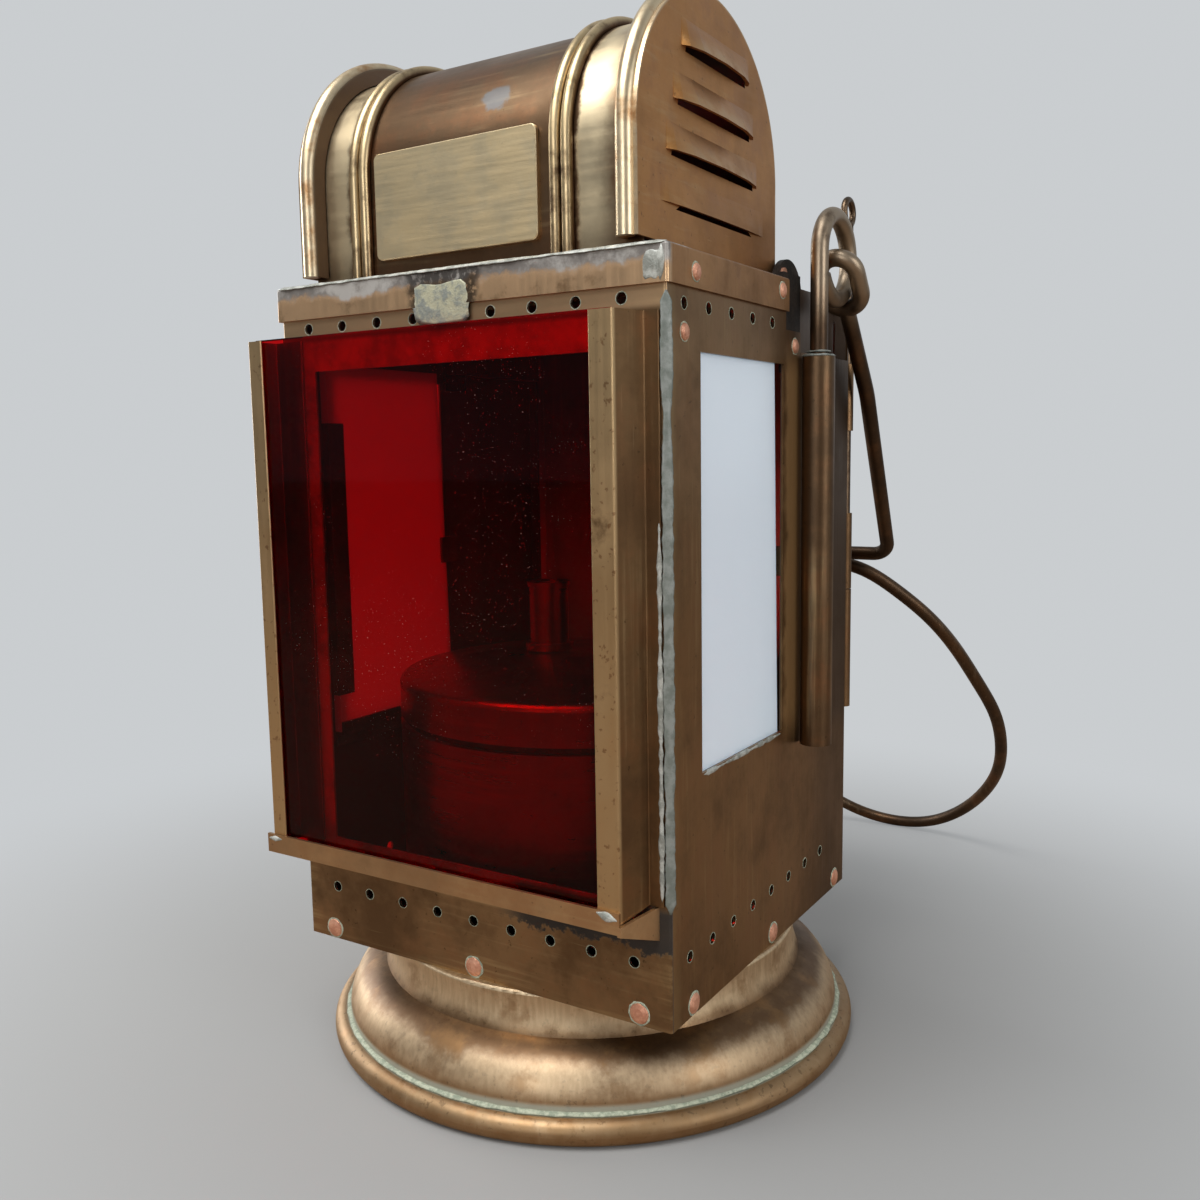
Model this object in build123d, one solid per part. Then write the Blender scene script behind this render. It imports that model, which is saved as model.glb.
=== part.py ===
from build123d import *
import math
import os

os.makedirs("parts", exist_ok=True)

# Every length is in millimetres and every height is measured from the plane the foot stands on
sheet = 0.8
wire_gap = 0.35
pin_clearance = 0.05
rivet_clearance = 0.05
fold = 0.3

# Square body
body_floor = 31.0
body_height = 178.2
body_half = 58.5
front_face = -57.5
rear_face = 55.5
body_top = body_floor + body_height
vent_radius = 1.4
front_opening = (-body_half + 12, body_half - 12, body_floor + 30, body_top - 21.2)
side_opening = (front_face + 16, 6.5, body_floor + 58.5, body_top - 21.2)
rear_opening = (-body_half + 4, body_half - 4, body_floor + 36, body_top - 6.2)
recess_y = 8.0
ear_rear = 18.0
ear_top = body_top - 12.2
recess_floor = body_top - 18.2
tray_lip = 6.5

# Vent rows: first hole, spacing, count and height
front_low_vents = (-47.54, 12.0, 9, body_floor + 15.4)
front_high_vents = (-48.78, 12.0, 9, body_top - 10.1)
side_low_vents = (-48.3, 12.0, 8, body_floor + 15.4)
side_high_vents = (-49.4, 12.1, 5, body_top - 11.2)

# Rivets
big_head = 2.6
small_head = 2.0
head_height = 0.85
shank = 1.3
front_rivet_x = (-body_half + 9.2, 0.2, body_half - 8.8)
side_rivet_y = (-46.4, 0.8, 48.0)
low_rivet_z = body_floor + 2.9
cover_rivets_yz = ((-45.2, body_top - 4.1), (3.5, body_top - 2.7))
panel_rivets_yz = ((-49.3, body_top - 17.4), (14.1, body_top - 16.1))

# Spun foot
rim_bead = 3.4
foot_sheet = 1.0
neck_radius = body_half + 1.5
foot_rim_radius = neck_radius + 16.8
neck_crease = (neck_radius + 1.4, body_floor - 10.6)
groove_point = (foot_rim_radius - 4.6, 7.0)

# Cover, hood and brackets
cover_sheet = 0.9
cover_skirt = 8.5
hood_half = body_half - 4.5
bracket_sheet = 1.2
bracket_rear = 19.5
lug_radius = 9.1
lug_drop = 1.9
lug_y = recess_y + 14.3
lug_rivet_yz = (lug_y - 4.2, body_top + cover_sheet + 3.0)
lug_thick = 1.6

# Roof
roof_y = -19.3
roof_z = body_top + 26.3
barrel_radius = 33.0
barrel_half = body_half - 8.7
rib_radius = 1.45
rib_lift = 0.9
rib_x = (-34.15, -30.95, 27.6, 30.8)
cap_radius = barrel_radius + 4.3
cap_face = barrel_half + 1.2
cap_inner = cap_face - 5.5
cap_bead = 2.15
cap_foot = body_top + 3.3
lug_x = cap_face + 0.6
louvre_rows = (
    (roof_z + 21.8, -35.7, 0.5, 3.0),
    (roof_z + 9.3, -39.8, 3.3, 3.0),
    (roof_z - 2.4, -43.3, 5.6, 2.9),
    (roof_z - 14.0, -46.0, 9.6, 1.1),
)
louvre_rise = 6.2

# Number plate
plate_x = (-27.5, 22.5)
plate_z = (body_top + 5.8, body_top + 31.8)
plate_thick = 1.2

# Red glass and its holder, which sits off centre
guide_sheet = 0.7
guide_face = front_face - 9.2
glass_x = (-body_half - 1.8, body_half - 9.2)
glass_front = guide_face + guide_sheet + 0.3
glass_thick = 2.4
glass_top = body_top - 12.9
rail_floor = body_floor + 26.0
rail_lip = 5.2
rail_left = -body_half - 5.0
rail_lip_right = body_half - 8.0
rail_tab_right = rail_lip_right + 4.0
guide_foot = rail_floor + 2.0
guide_top = body_top - 13.2

# White side panes
pane_thick = 2.4
pane_y = (side_opening[0] - 3.5, side_opening[1] - 2.9)
pane_z = (side_opening[2] - 2.5, side_opening[3] + 3.0)
pane_guide_z = (body_floor + 67.0, body_floor + 144.0)
clip_z = (body_floor + 101.0, body_floor + 109.0)

# Carbide generator standing inside
pot_centre = (0.0, (front_face + rear_face) / 2)
pot_radius = min(body_half - 5.0, (rear_face - front_face) / 2 - 3.0)
pot_seam = body_floor + 60.0
gasket_radius = pot_radius - 1.5
gasket_height = 2.0
lid_shoulder = pot_seam + 13.0
lid_crown = pot_seam + 18.0
burner_xy = (-9.0, -6.0)
collar_radius = 7.0
spigot_radius = 5.6
spigot_top = lid_crown + 20.0

# Handle tubes, eyes, bail and grip loop
handle_wire = 2.4
bail_wire = 2.28
grip_wire = 2.25
hook_wire = 2.4
hook_gap = 0.47
tube_radius = 4.4
tube_bore = handle_wire + 0.3
handle_x = body_half + tube_radius + 0.3
tube_z = (body_floor + 52.7, body_top - 18.8)
eye_radius = 11.0
eye_y = 30.4
eye_z = body_top + 8.6
eye_turn = 328
rest_angle = 39.05
ring_half = 2 * handle_wire + 0.4
ring_reach = eye_radius + ring_half
leg_bend = (handle_x - 0.2, 46.0)
bail_corner_x = handle_x - 6.2
crossbar_s = 112.8
grip_middle = 29.0
grip_hook = 9.0
grip_outline = (
    (16.1, 0.044), (27.4, 0.106), (37.2, 0.190), (43.3, 0.272), (48.8, 0.383), (52.8, 0.487),
    (53.2, 0.591), (49.8, 0.707), (41.2, 0.820), (27.8, 0.923), (14.0, 0.982),
)

# Rear door and its hinge
hinge_x = body_half - 1.6
hinge_y = rear_face + 3.1
knuckle_radius = 2.1
pin_radius = 1.5
door_x = (-body_half + 1.5, body_half - 3.5)
door_z = (body_floor + 34.0, body_top + 0.8)
door_face = rear_face + 5.8
door_gap = 0.3
upper_knuckle = (body_top - 38.0, body_top - 18.2)
hinge_collar_z = (body_floor + 111.1, body_floor + 115.3)
middle_knuckle = (body_floor + 92.2, body_floor + 111.1)
lower_knuckle = (body_floor + 55.2, body_floor + 91.9)
catch_z = (body_floor + 87.0, body_floor + 99.0)
pin_top = body_top + 22.8
pull_radius = 3.6
pull_wire = 1.0


def span(x0, x1, y0, y1, z0, z1):
    middle = ((x0 + x1) / 2, (y0 + y1) / 2, (z0 + z1) / 2)
    return Pos(*middle) * Box(x1 - x0, y1 - y0, z1 - z0)


def bar(axis, centre, radius, low, high):
    if axis == "x":
        plane = Plane(origin=(low, centre[0], centre[1]), z_dir=(1, 0, 0))
    elif axis == "y":
        plane = Plane(origin=(centre[0], low, centre[1]), z_dir=(0, 1, 0))
    else:
        plane = Plane(origin=(centre[0], centre[1], low), z_dir=(0, 0, 1))
    return extrude(plane * Circle(radius), amount=high - low)


def bent_wire(points, bends, radius):
    corners = [Vector(*p) for p in points]
    here = corners[0]
    edges = []
    for i, bend in enumerate(bends, start=1):
        back = (corners[i - 1] - corners[i]).normalized()
        onward = (corners[i + 1] - corners[i]).normalized()
        half = math.radians(back.get_angle(onward)) / 2
        start = corners[i] + back * (bend / math.tan(half))
        end = corners[i] + onward * (bend / math.tan(half))
        inward = (back + onward).normalized()
        middle = corners[i] + inward * (bend / math.sin(half) - bend)
        edges.append(Line(here, start))
        edges.append(ThreePointArc(start, middle, end))
        here = end
    edges.append(Line(here, corners[-1]))
    path = Wire([e.edge() for e in edges])
    section = Plane(origin=corners[0], z_dir=corners[1] - corners[0]) * Circle(radius)
    return sweep(section, path=path)


def handle_point(x, s):
    angle = math.radians(rest_angle)
    return (x, eye_y + s * math.sin(angle), eye_z - s * math.cos(angle))


def mirrored(shape):
    return mirror(shape, about=Plane.YZ)


def rivet(point, direction, head, length):
    outline = [
        Line((0, head_height), (head * 0.55, head_height * 0.86)),
        Line((head * 0.55, head_height * 0.86), (head * 0.9, head_height * 0.45)),
        Line((head * 0.9, head_height * 0.45), (head, 0)),
        Line((head, 0), (shank, 0)),
        Line((shank, 0), (shank, -length)),
        Line((shank, -length), (0, -length)),
        Line((0, -length), (0, head_height)),
    ]
    profile = Plane.XZ * make_face(outline)
    turned = revolve(profile, axis=Axis.Z)
    return Plane(origin=point, z_dir=direction) * turned


def vent_holes(axis, row, low, high):
    first, step, count, height = row
    holes = []
    for i in range(count):
        holes.append(bar(axis, (first + i * step, height), vent_radius, low, high))
    return holes


# Foot
def make_foot():
    crease_r, crease_z = neck_crease
    groove_r, groove_z = groove_point
    bead_r = foot_rim_radius - rim_bead
    bead_z = rim_bead - 0.2
    top = body_floor
    flange = neck_radius - 9
    t = foot_sheet
    outline = [
        Line((flange, top), (neck_radius - 0.8, top)),
        ThreePointArc((neck_radius - 0.8, top), (neck_radius - 0.25, top - 0.25), (neck_radius, top - 0.8)),
        ThreePointArc((neck_radius, top - 0.8), (neck_radius - 0.1, top - 5), (crease_r, crease_z)),
        ThreePointArc((crease_r, crease_z), (crease_r + 7.6, crease_z - 4.4), (groove_r, groove_z)),
        Line((groove_r, groove_z), (groove_r - t, groove_z - 1.2)),
        ThreePointArc((groove_r - t, groove_z - 1.2), (crease_r + 6.6, crease_z - 5.2), (crease_r - t, crease_z - t)),
        ThreePointArc((crease_r - t, crease_z - t), (neck_radius - 0.1 - t, top - 5), (neck_radius - t, top - t)),
        Line((neck_radius - t, top - t), (flange, top - t)),
        Line((flange, top - t), (flange, top)),
    ]
    shell = revolve(Plane.XZ * make_face(outline), axis=Axis.Z)
    bead = revolve(Plane.XZ * Pos(bead_r, bead_z) * Circle(rim_bead), axis=Axis.Z)
    below = span(-90, 90, -90, 90, -10, 0)
    return shell + bead - below


def make_foot_floor():
    return bar("z", (0, 0), foot_rim_radius - 2 * rim_bead + 0.4, 0, 1.2)


# Body
def make_floor_plate():
    outer = span(-body_half + sheet, body_half - sheet, front_face + sheet, rear_face - sheet,
                 body_floor, body_floor + tray_lip)
    inner = span(-body_half + 2 * sheet, body_half - 2 * sheet, front_face + 2 * sheet, rear_face - 2 * sheet,
                 body_floor + sheet, body_floor + tray_lip + 1)
    tray = outer - inner
    hole = shank + rivet_clearance
    for x in front_rivet_x:
        tray -= bar("y", (x, low_rivet_z), hole, front_face - 1, front_face + 3)
    for y in side_rivet_y:
        tray -= bar("x", (y, low_rivet_z), hole, body_half - 3, body_half + 1)
        tray -= bar("x", (y, low_rivet_z), hole, -body_half - 1, -body_half + 3)
    return tray


def make_front_panel():
    x0, x1, z0, z1 = front_opening
    panel = span(-body_half, body_half, front_face, front_face + sheet, body_floor, body_top)
    panel = fillet(panel.edges().filter_by(Axis.Z).group_by(Axis.Y)[0], 0.7)
    panel -= span(x0, x1, front_face - 1, front_face + 2, z0, z1)
    for row in (front_low_vents, front_high_vents):
        for hole in vent_holes("y", row, front_face - 1, front_face + 2):
            panel -= hole
    for x in front_rivet_x:
        panel -= bar("y", (x, low_rivet_z), shank + rivet_clearance, front_face - 1, front_face + 2)
    return panel


def make_side_panel():
    y0, y1, z0, z1 = side_opening
    inside = body_half - sheet
    panel = span(inside, body_half, front_face + sheet, rear_face - sheet, body_floor, body_top)
    panel -= span(inside - 1, body_half + 1, recess_y, rear_face, ear_top, body_top + 1)
    panel -= span(inside - 1, body_half + 1, ear_rear, rear_face, recess_floor, body_top + 1)
    panel -= span(inside - 1, body_half + 1, y0, y1, z0, z1)
    for row in (side_low_vents, side_high_vents):
        for hole in vent_holes("x", row, inside - 1, body_half + 1):
            panel -= hole
    hole = shank + rivet_clearance
    for y in side_rivet_y:
        panel -= bar("x", (y, low_rivet_z), hole, inside - 1, body_half + 1)
    for y, z in cover_rivets_yz + panel_rivets_yz:
        panel -= bar("x", (y, z), hole, inside - 1, body_half + 1)
    return panel


def make_back_frame():
    x0, x1, z0, z1 = rear_opening
    frame = span(-body_half, body_half, rear_face - sheet, rear_face, body_floor, body_top + cover_sheet)
    frame -= span(x0, x1, rear_face - 2, rear_face + 1, z0, z1)
    return frame


def make_cover():
    outer_half = body_half + cover_sheet
    front = front_face - cover_sheet
    top = body_top + cover_sheet
    low = top - cover_skirt
    block = span(-outer_half, outer_half, front, recess_y, low, top)
    rim = block.edges().group_by(Axis.Z)[-1] + block.edges().filter_by(Axis.Z).group_by(Axis.Y)[0]
    block = fillet(rim, 0.7)
    block -= span(-body_half, body_half, front_face, recess_y + 1, low - 1, body_top)
    block -= span(-barrel_half + 8, barrel_half - 8, roof_y - 27, recess_y - 3, low, top + 1)
    for side in (-1, 1):
        for y, z in cover_rivets_yz:
            low_x = min(side * (body_half - 1), side * (outer_half + 1))
            block -= bar("x", (y, z), shank + rivet_clearance, low_x, low_x + cover_sheet + 2)
    return block


def make_rear_hood():
    top = body_top + cover_sheet
    low = recess_floor
    rear = rear_face - sheet
    outer = span(-hood_half, hood_half, recess_y, rear, low, top)
    inner = span(-hood_half + sheet, hood_half - sheet, recess_y - 1, rear + 1, low - 1, top - sheet)
    hood = outer - inner
    for side in (-1, 1):
        near = side * (hood_half - sheet)
        far = side * body_half
        hood += span(min(near, far), max(near, far), ear_rear + 0.5, rear, low, low + sheet)
    return hood


def make_bracket():
    outside = body_half - sheet
    plate = span(outside - bracket_sheet, outside, recess_y, bracket_rear, ear_top - 11, body_top + 2.8)
    plate -= span(outside - 3, outside + 1, ear_rear + 0.3, bracket_rear + 1, ear_top - 12, recess_floor + sheet + 0.2)
    web = span(hood_half, outside, recess_y, recess_y + 1.0, recess_floor, body_top)
    bracket = plate + web
    y, z = panel_rivets_yz[1]
    return bracket - bar("x", (y, z), shank + rivet_clearance, outside - 3, outside + 1)


def make_lug():
    base = body_top + cover_sheet
    disc = bar("x", (lug_y, base - lug_drop), lug_radius, lug_x, lug_x + lug_thick)
    disc -= span(lug_x - 1, lug_x + 4, lug_y - 15, lug_y + 15, base - 15, base)
    return disc - bar("x", lug_rivet_yz, shank * 0.6, lug_x - 1, lug_x + lug_thick + 1)


def make_lug_rivet():
    stem = bar("x", lug_rivet_yz, shank * 0.6 - rivet_clearance, lug_x, lug_x + lug_thick)
    return stem + bar("x", lug_rivet_yz, 1.5, lug_x + lug_thick, lug_x + lug_thick + 0.7)


# Roof
def arch_face(radius, low):
    front = roof_y - radius
    rear = roof_y + radius
    edges = [
        Line((front, low), (front, roof_z)),
        ThreePointArc((front, roof_z), (roof_y, roof_z + radius), (rear, roof_z)),
        Line((rear, roof_z), (rear, low)),
        Line((rear, low), (front, low)),
    ]
    return make_face(edges)


def arch_block(radius, low, x0, x1):
    plane = Plane(origin=(x0, 0, 0), x_dir=(0, 1, 0), z_dir=(1, 0, 0))
    return extrude(plane * arch_face(radius, low), amount=x1 - x0)


def arch_sweep(profile, low):
    drop = roof_z - low
    front = Pos(0, roof_y, roof_z) * mirror(profile, about=Plane.XZ)
    rear = Pos(0, roof_y, roof_z) * profile
    over = revolve(front, axis=Axis((0, roof_y, roof_z), (-1, 0, 0)), revolution_arc=180)
    legs = extrude(front, amount=drop, dir=(0, 0, -1)) + extrude(rear, amount=drop, dir=(0, 0, -1))
    return over + legs


def strip(x0, x1, r0, r1):
    return Pos((x0 + x1) / 2, (r0 + r1) / 2) * Rectangle(x1 - x0, r1 - r0)


def make_barrel():
    low = body_top + cover_sheet
    inside = barrel_radius - sheet
    profile = strip(-barrel_half, barrel_half, inside, barrel_radius)
    for x in rib_x:
        profile += Pos(x, barrel_radius + rib_lift) * Circle(rib_radius)
    profile -= strip(-barrel_half, barrel_half, inside - 5, inside)
    return arch_sweep(profile, low)


def louvre_loft(low, y0, y1, reach, inner):
    stations = ((0.0, 0.02), (0.06, 0.45), (0.2, 0.82), (0.5, 1.0), (0.8, 0.82), (0.94, 0.45), (1.0, 0.02))
    back = cap_face - (sheet * 2.4 if inner else sheet * 0.5)
    shift = sheet * 0.95 if inner else 0.0
    drop = 1.0 if inner else 0.0
    inset = 1.0 if inner else 0.0
    faces = []
    for along, share in stations:
        y = y0 + inset + (y1 - y0 - 2 * inset) * along
        plane = Plane(origin=(0, y, 0), x_dir=(1, 0, 0), z_dir=(0, -1, 0))
        tip = cap_face + reach * share - shift
        if inner:
            tip = max(tip, cap_face - sheet * 1.05)
        crest = max(cap_face - shift, back + 0.15)
        points = [(back, low - drop), (tip + drop * reach * share / louvre_rise, low - drop),
                  (crest, low + louvre_rise), (back, low + louvre_rise)]
        faces.append(plane * make_face(Polyline(*points, close=True)))
    return loft(faces, ruled=True)


def make_cap():
    face = arch_block(cap_radius, cap_foot, cap_face - sheet, cap_face)
    profile = strip(cap_inner, cap_face - sheet, cap_radius - sheet, cap_radius)
    profile += strip(cap_inner, cap_inner + sheet, barrel_radius + 0.3, cap_radius)
    profile += Pos(cap_inner + 2.3, cap_radius - sheet / 2) * Circle(cap_bead)
    cap = face + arch_sweep(profile, cap_foot)
    for low, y0, y1, reach in louvre_rows:
        cap += louvre_loft(low, y0, y1, reach, False)
    for low, y0, y1, reach in louvre_rows:
        cap -= louvre_loft(low, y0, y1, reach, True)
    return cap


def make_name_plate():
    back = roof_y - barrel_radius
    plate = span(plate_x[0], plate_x[1], back - plate_thick, back, plate_z[0], plate_z[1])
    corners = plate.edges().filter_by(Axis.Y)
    plate = fillet(corners, 1.6)
    front = plate.faces().sort_by(Axis.Y)[0]
    return chamfer(front.edges(), 0.25)


# Glass holder
def guide_block(points):
    face = make_face(Polyline(*points, close=True))
    block = extrude(Pos(0, 0, guide_foot) * face, amount=guide_top - guide_foot)
    return fillet(block.edges().filter_by(Axis.Z), fold)


def make_right_guide():
    t = guide_sheet
    back = front_face
    face = guide_face
    inner, outer = body_half - 14.3, body_half - 8.3
    points = [(inner, face), (outer, face), (outer + 3, back - t), (outer + 6.8, back - t), (outer + 6.8, back),
              (outer + 2.4, back), (outer - 0.6, face + t), (inner, face + t)]
    guide = guide_block(points)
    slope = Polyline((inner - 1, guide_foot - 1), (outer + 1, guide_foot - 1), (inner - 1, guide_foot + 2.4), close=True)
    guide -= extrude(Plane.XZ * make_face(slope), amount=-front_face + 20)
    rise = Polyline((face + 0.9, guide_foot - 1), (back + 1, guide_foot - 1), (back + 1, guide_foot + 3.1),
                    (back - 0.1, guide_foot + 2.9), (face + 0.9, guide_foot), close=True)
    return guide - extrude(Plane.YZ.offset(outer - 3) * make_face(rise), amount=12)


def make_left_guide():
    t = guide_sheet
    back = front_face
    face = guide_face
    out = -body_half
    points = [(out + 1.3, face), (out - 3.4, face), (out - 1.9, back - t - 0.1), (out - 1.9, back), (out + 8, back),
              (out + 8, back - t), (out - 1.2, back - t), (out - 2.6, face + t), (out + 1.3, face + t)]
    return guide_block(points)


def make_bottom_rail():
    front = guide_face - sheet
    back = front_face
    tab_start = rail_lip_right - 0.5
    tab_width = 0.9
    end = rail_tab_right + tab_width
    floor = span(rail_left, end, front, back, rail_floor, rail_floor + sheet)
    lip = span(rail_left, rail_lip_right, front, guide_face, rail_floor, rail_floor + rail_lip)
    beyond = Polyline((tab_start + tab_width, front - 1), (tab_start + tab_width, front), (end, back),
                      (end + 1, back), (end + 1, front - 1), close=True)
    floor -= extrude(Pos(0, 0, rail_floor - 1) * Plane.XY * make_face(beyond), amount=4)
    footprint = Polyline((tab_start, front), (tab_start + tab_width, front), (end, back), (rail_tab_right, back),
                         close=True)
    tab = extrude(Pos(0, 0, rail_floor - 6) * Plane.XY * make_face(footprint), amount=12)
    side = Polyline((front, rail_floor - 0.4), (front, rail_floor + 1.9), (back, rail_floor + 4.3),
                    (back, rail_floor - 3.8), close=True)
    tab &= extrude(Plane.YZ.offset(tab_start - 1) * make_face(side), amount=8)
    return floor + tab + lip


def make_red_glass():
    low = rail_floor + sheet
    glass = span(glass_x[0], glass_x[1], glass_front, glass_front + glass_thick, low, glass_top)
    return chamfer(glass.edges(), 0.2)


def make_pane():
    inside = body_half - sheet
    slant = Plane.YZ.offset(inside - pane_thick) * make_face(Polyline(
        (pane_y[0], pane_z[0]), (pane_y[1] + 1.6, pane_z[0]), (pane_y[1] - 1.4, pane_z[1]),
        (pane_y[0], pane_z[1]), close=True))
    return extrude(slant, amount=pane_thick)


def make_pane_guide():
    inside = body_half - sheet
    z0, z1 = pane_guide_z
    front = pane_y[0]
    base = span(inside - sheet, inside, front - 5, front - 0.3, z0, z1)
    step = span(inside - pane_thick - 0.1 - sheet, inside, front - 1.1, front - 0.3, z0, z1)
    finger = span(inside - pane_thick - 0.1 - sheet, inside - pane_thick - 0.1, front - 1.1, front + 5, z0, z1)
    return base + step + finger


def make_pane_ledge():
    inside = body_half - sheet
    top = pane_z[0]
    low = top - sheet
    shelf = span(inside - pane_thick - 0.1 - sheet, inside, pane_y[0], pane_y[1] + 1, low, top)
    lip = span(inside - pane_thick - 0.1 - sheet, inside - pane_thick - 0.1, pane_y[0], pane_y[1] + 1, low, top + 3)
    foot = span(inside - sheet, inside, pane_y[0], pane_y[1] + 1, low - 3.5, low)
    return shelf + lip + foot


def make_clip():
    inside = body_half - sheet
    z0, z1 = clip_z
    y = side_opening[1] + 0.6
    inner = inside - pane_thick - 0.1 - sheet
    base = span(inside - sheet, inside, y, y + 5, z0, z1)
    wall = span(inner, inside, y, y + sheet, z0, z1)
    finger = span(inner, inner + sheet, y - 6, y + sheet, z0, z1)
    return base + wall + finger


# Carbide generator
def make_generator_body():
    x, y = pot_centre
    low = body_floor + sheet
    pot = bar("z", (x, y), pot_radius, low, pot_seam)
    pot -= bar("z", (x, y), pot_radius - sheet, low + sheet, pot_seam + 1)
    seat = bar("z", (x, y), pot_radius - sheet, pot_seam - 1, pot_seam)
    seat -= bar("z", (x, y), pot_radius - 6, pot_seam - 2, pot_seam + 1)
    return pot + seat


def make_carbide_pot():
    x, y = pot_centre
    low = body_floor + 2 * sheet
    pot = bar("z", (x, y), 34, low, low + 42)
    return pot - bar("z", (x, y), 34 - sheet, low + sheet, low + 43)


def make_gasket():
    x, y = pot_centre
    ring = bar("z", (x, y), gasket_radius, pot_seam, pot_seam + gasket_height)
    return ring - bar("z", (x, y), gasket_radius - 4, pot_seam - 1, pot_seam + gasket_height + 1)


def make_lid():
    x, y = pot_centre
    low = pot_seam + gasket_height
    r = pot_radius
    t = sheet
    outline = [
        Line((r, low), (r, lid_shoulder - 2)),
        ThreePointArc((r, lid_shoulder - 2), (r - 0.7, lid_shoulder - 0.6), (r - 2.2, lid_shoulder)),
        ThreePointArc((r - 2.2, lid_shoulder), (r * 0.5, lid_crown - 1.2), (0, lid_crown)),
        Line((0, lid_crown), (0, lid_crown - t)),
        ThreePointArc((0, lid_crown - t), (r * 0.5, lid_crown - 1.2 - t), (r - 2.2, lid_shoulder - t)),
        Line((r - 2.2, lid_shoulder - t), (r - t, lid_shoulder - 2.2)),
        Line((r - t, lid_shoulder - 2.2), (r - t, low + t)),
        Line((r - t, low + t), (r - 6, low + t)),
        Line((r - 6, low + t), (r - 6, low)),
        Line((r - 6, low), (r, low)),
    ]
    shell = revolve(Plane.XZ * make_face(outline), axis=Axis.Z)
    lid = Pos(x, y, 0) * shell
    bx, by = burner_xy
    return lid - bar("z", (bx, by), collar_radius - 2, lid_shoulder, lid_crown + 4)


def make_burner_collar():
    bx, by = burner_xy
    collar = bar("z", (bx, by), collar_radius, lid_crown + 0.2, lid_crown + 2.4)
    return collar - bar("z", (bx, by), spigot_radius - 1.2, lid_crown - 1, lid_crown + 4)


def make_burner_tube():
    bx, by = burner_xy
    low = lid_crown + 2.4
    tube = bar("z", (bx, by), spigot_radius, low, spigot_top)
    tube += bar("z", (bx, by), spigot_radius + 0.6, spigot_top - 1.4, spigot_top)
    return tube - bar("z", (bx, by), spigot_radius - 1.2, low - 1, spigot_top + 1)


def make_burner_tip():
    bx, by = burner_xy
    tip = bar("z", (bx, by), spigot_radius - 1.5, spigot_top - 6, spigot_top - 0.6)
    return tip - bar("z", (bx, by), 0.7, spigot_top - 7, spigot_top)


# Handle
def make_handle_tube():
    y = eye_y - eye_radius
    tube = bar("z", (handle_x, y), tube_radius, tube_z[0], tube_z[1])
    return tube - bar("z", (handle_x, y), tube_bore, tube_z[0] - 1, tube_z[1] + 1)


def make_eye_rod():
    y = eye_y - eye_radius
    low = tube_z[1] - 30
    spots = []
    for turn in (eye_turn / 2, eye_turn):
        angle = math.radians(180 - turn)
        spots.append((handle_x, eye_y + eye_radius * math.cos(angle), eye_z + eye_radius * math.sin(angle)))
    stem = Line((handle_x, y, low), (handle_x, y, eye_z))
    ring = ThreePointArc((handle_x, y, eye_z), spots[0], spots[1])
    path = Wire([stem.edge(), ring.edge()])
    section = Plane(origin=(handle_x, y, low), z_dir=(0, 0, 1)) * Circle(handle_wire)
    return sweep(section, path=path)


def oblong_ring(x):
    middle_s = ring_reach - ring_half
    spots = [(ring_half, ring_half), (ring_half, middle_s), (-ring_half, middle_s), (-ring_half, ring_half)]
    points = [handle_point(x + dx, s) for dx, s in spots]
    edges = [
        Line(points[0], points[1]),
        ThreePointArc(points[1], handle_point(x, ring_reach), points[2]),
        Line(points[2], points[3]),
        ThreePointArc(points[3], handle_point(x, 0), points[0]),
    ]
    path = Wire([e.edge() for e in edges])
    section = Plane(origin=points[0], z_dir=Vector(*points[1]) - Vector(*points[0])) * Circle(handle_wire)
    return sweep(section, path=path)


def make_bail():
    start = handle_point(handle_x, ring_reach)
    points = [
        start,
        handle_point(*leg_bend),
        handle_point(bail_corner_x, crossbar_s),
        handle_point(-bail_corner_x, crossbar_s),
        handle_point(-leg_bend[0], leg_bend[1]),
        handle_point(-handle_x, ring_reach),
    ]
    wire = bent_wire(points, (60, 6, 6, 60), bail_wire)
    return wire + oblong_ring(handle_x) + oblong_ring(-handle_x)


def make_grip_loop():
    curl = bail_wire + hook_gap + hook_wire
    floor_s = (eye_z - grip_wire) / math.cos(math.radians(rest_angle))
    length = floor_s - crossbar_s
    right = [(grip_middle + grip_hook, crossbar_s + curl)]
    right += [(grip_middle + aside, crossbar_s + length * share) for aside, share in grip_outline]
    left = [(2 * grip_middle - x, s) for x, s in reversed(right)]
    path = Spline(*[handle_point(x, s) for x, s in right + [(grip_middle, floor_s)] + left])
    section = Plane(origin=path @ 0, z_dir=path % 0) * Circle(grip_wire)
    loop = sweep(section, path=path)
    for x in (grip_middle - grip_hook, grip_middle + grip_hook):
        loop += Plane(origin=handle_point(x, crossbar_s), z_dir=(1, 0, 0)) * Torus(curl, hook_wire)
    return loop


# Rear door
def knuckle(low, high):
    return bar("z", (hinge_x, hinge_y), knuckle_radius, low, high)


def make_rear_door():
    x0, x1 = door_x
    z0, z1 = door_z
    back = door_face + sheet
    near = rear_face + door_gap
    pan = span(x0, x1, near, back, z0, z1)
    pan = fillet(pan.edges().group_by(Axis.Y)[-1], 1.0)
    pan -= span(x0 + sheet, x1 + 1, near - 1, door_face, z0 + sheet, z1 - sheet)
    for low, high in (upper_knuckle, lower_knuckle):
        pan += span(x1 - 6, hinge_x, back - 1.7, back, low, high)
        pan += knuckle(low, high)
    bore = pin_radius + pin_clearance
    pan -= bar("z", (hinge_x, hinge_y), bore, z0 - 1, z1 + 1)
    return pan


def make_frame_knuckle():
    low, high = middle_knuckle
    leaf = span(hinge_x - 1.4, hinge_x - 0.2, rear_face, hinge_y, low, high)
    part = leaf + span(rear_opening[1], hinge_x - 0.2, rear_face, rear_face + sheet, low, high)
    part += knuckle(low, high)
    return part - bar("z", (hinge_x, hinge_y), pin_radius + pin_clearance, low - 1, high + 1)


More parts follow.
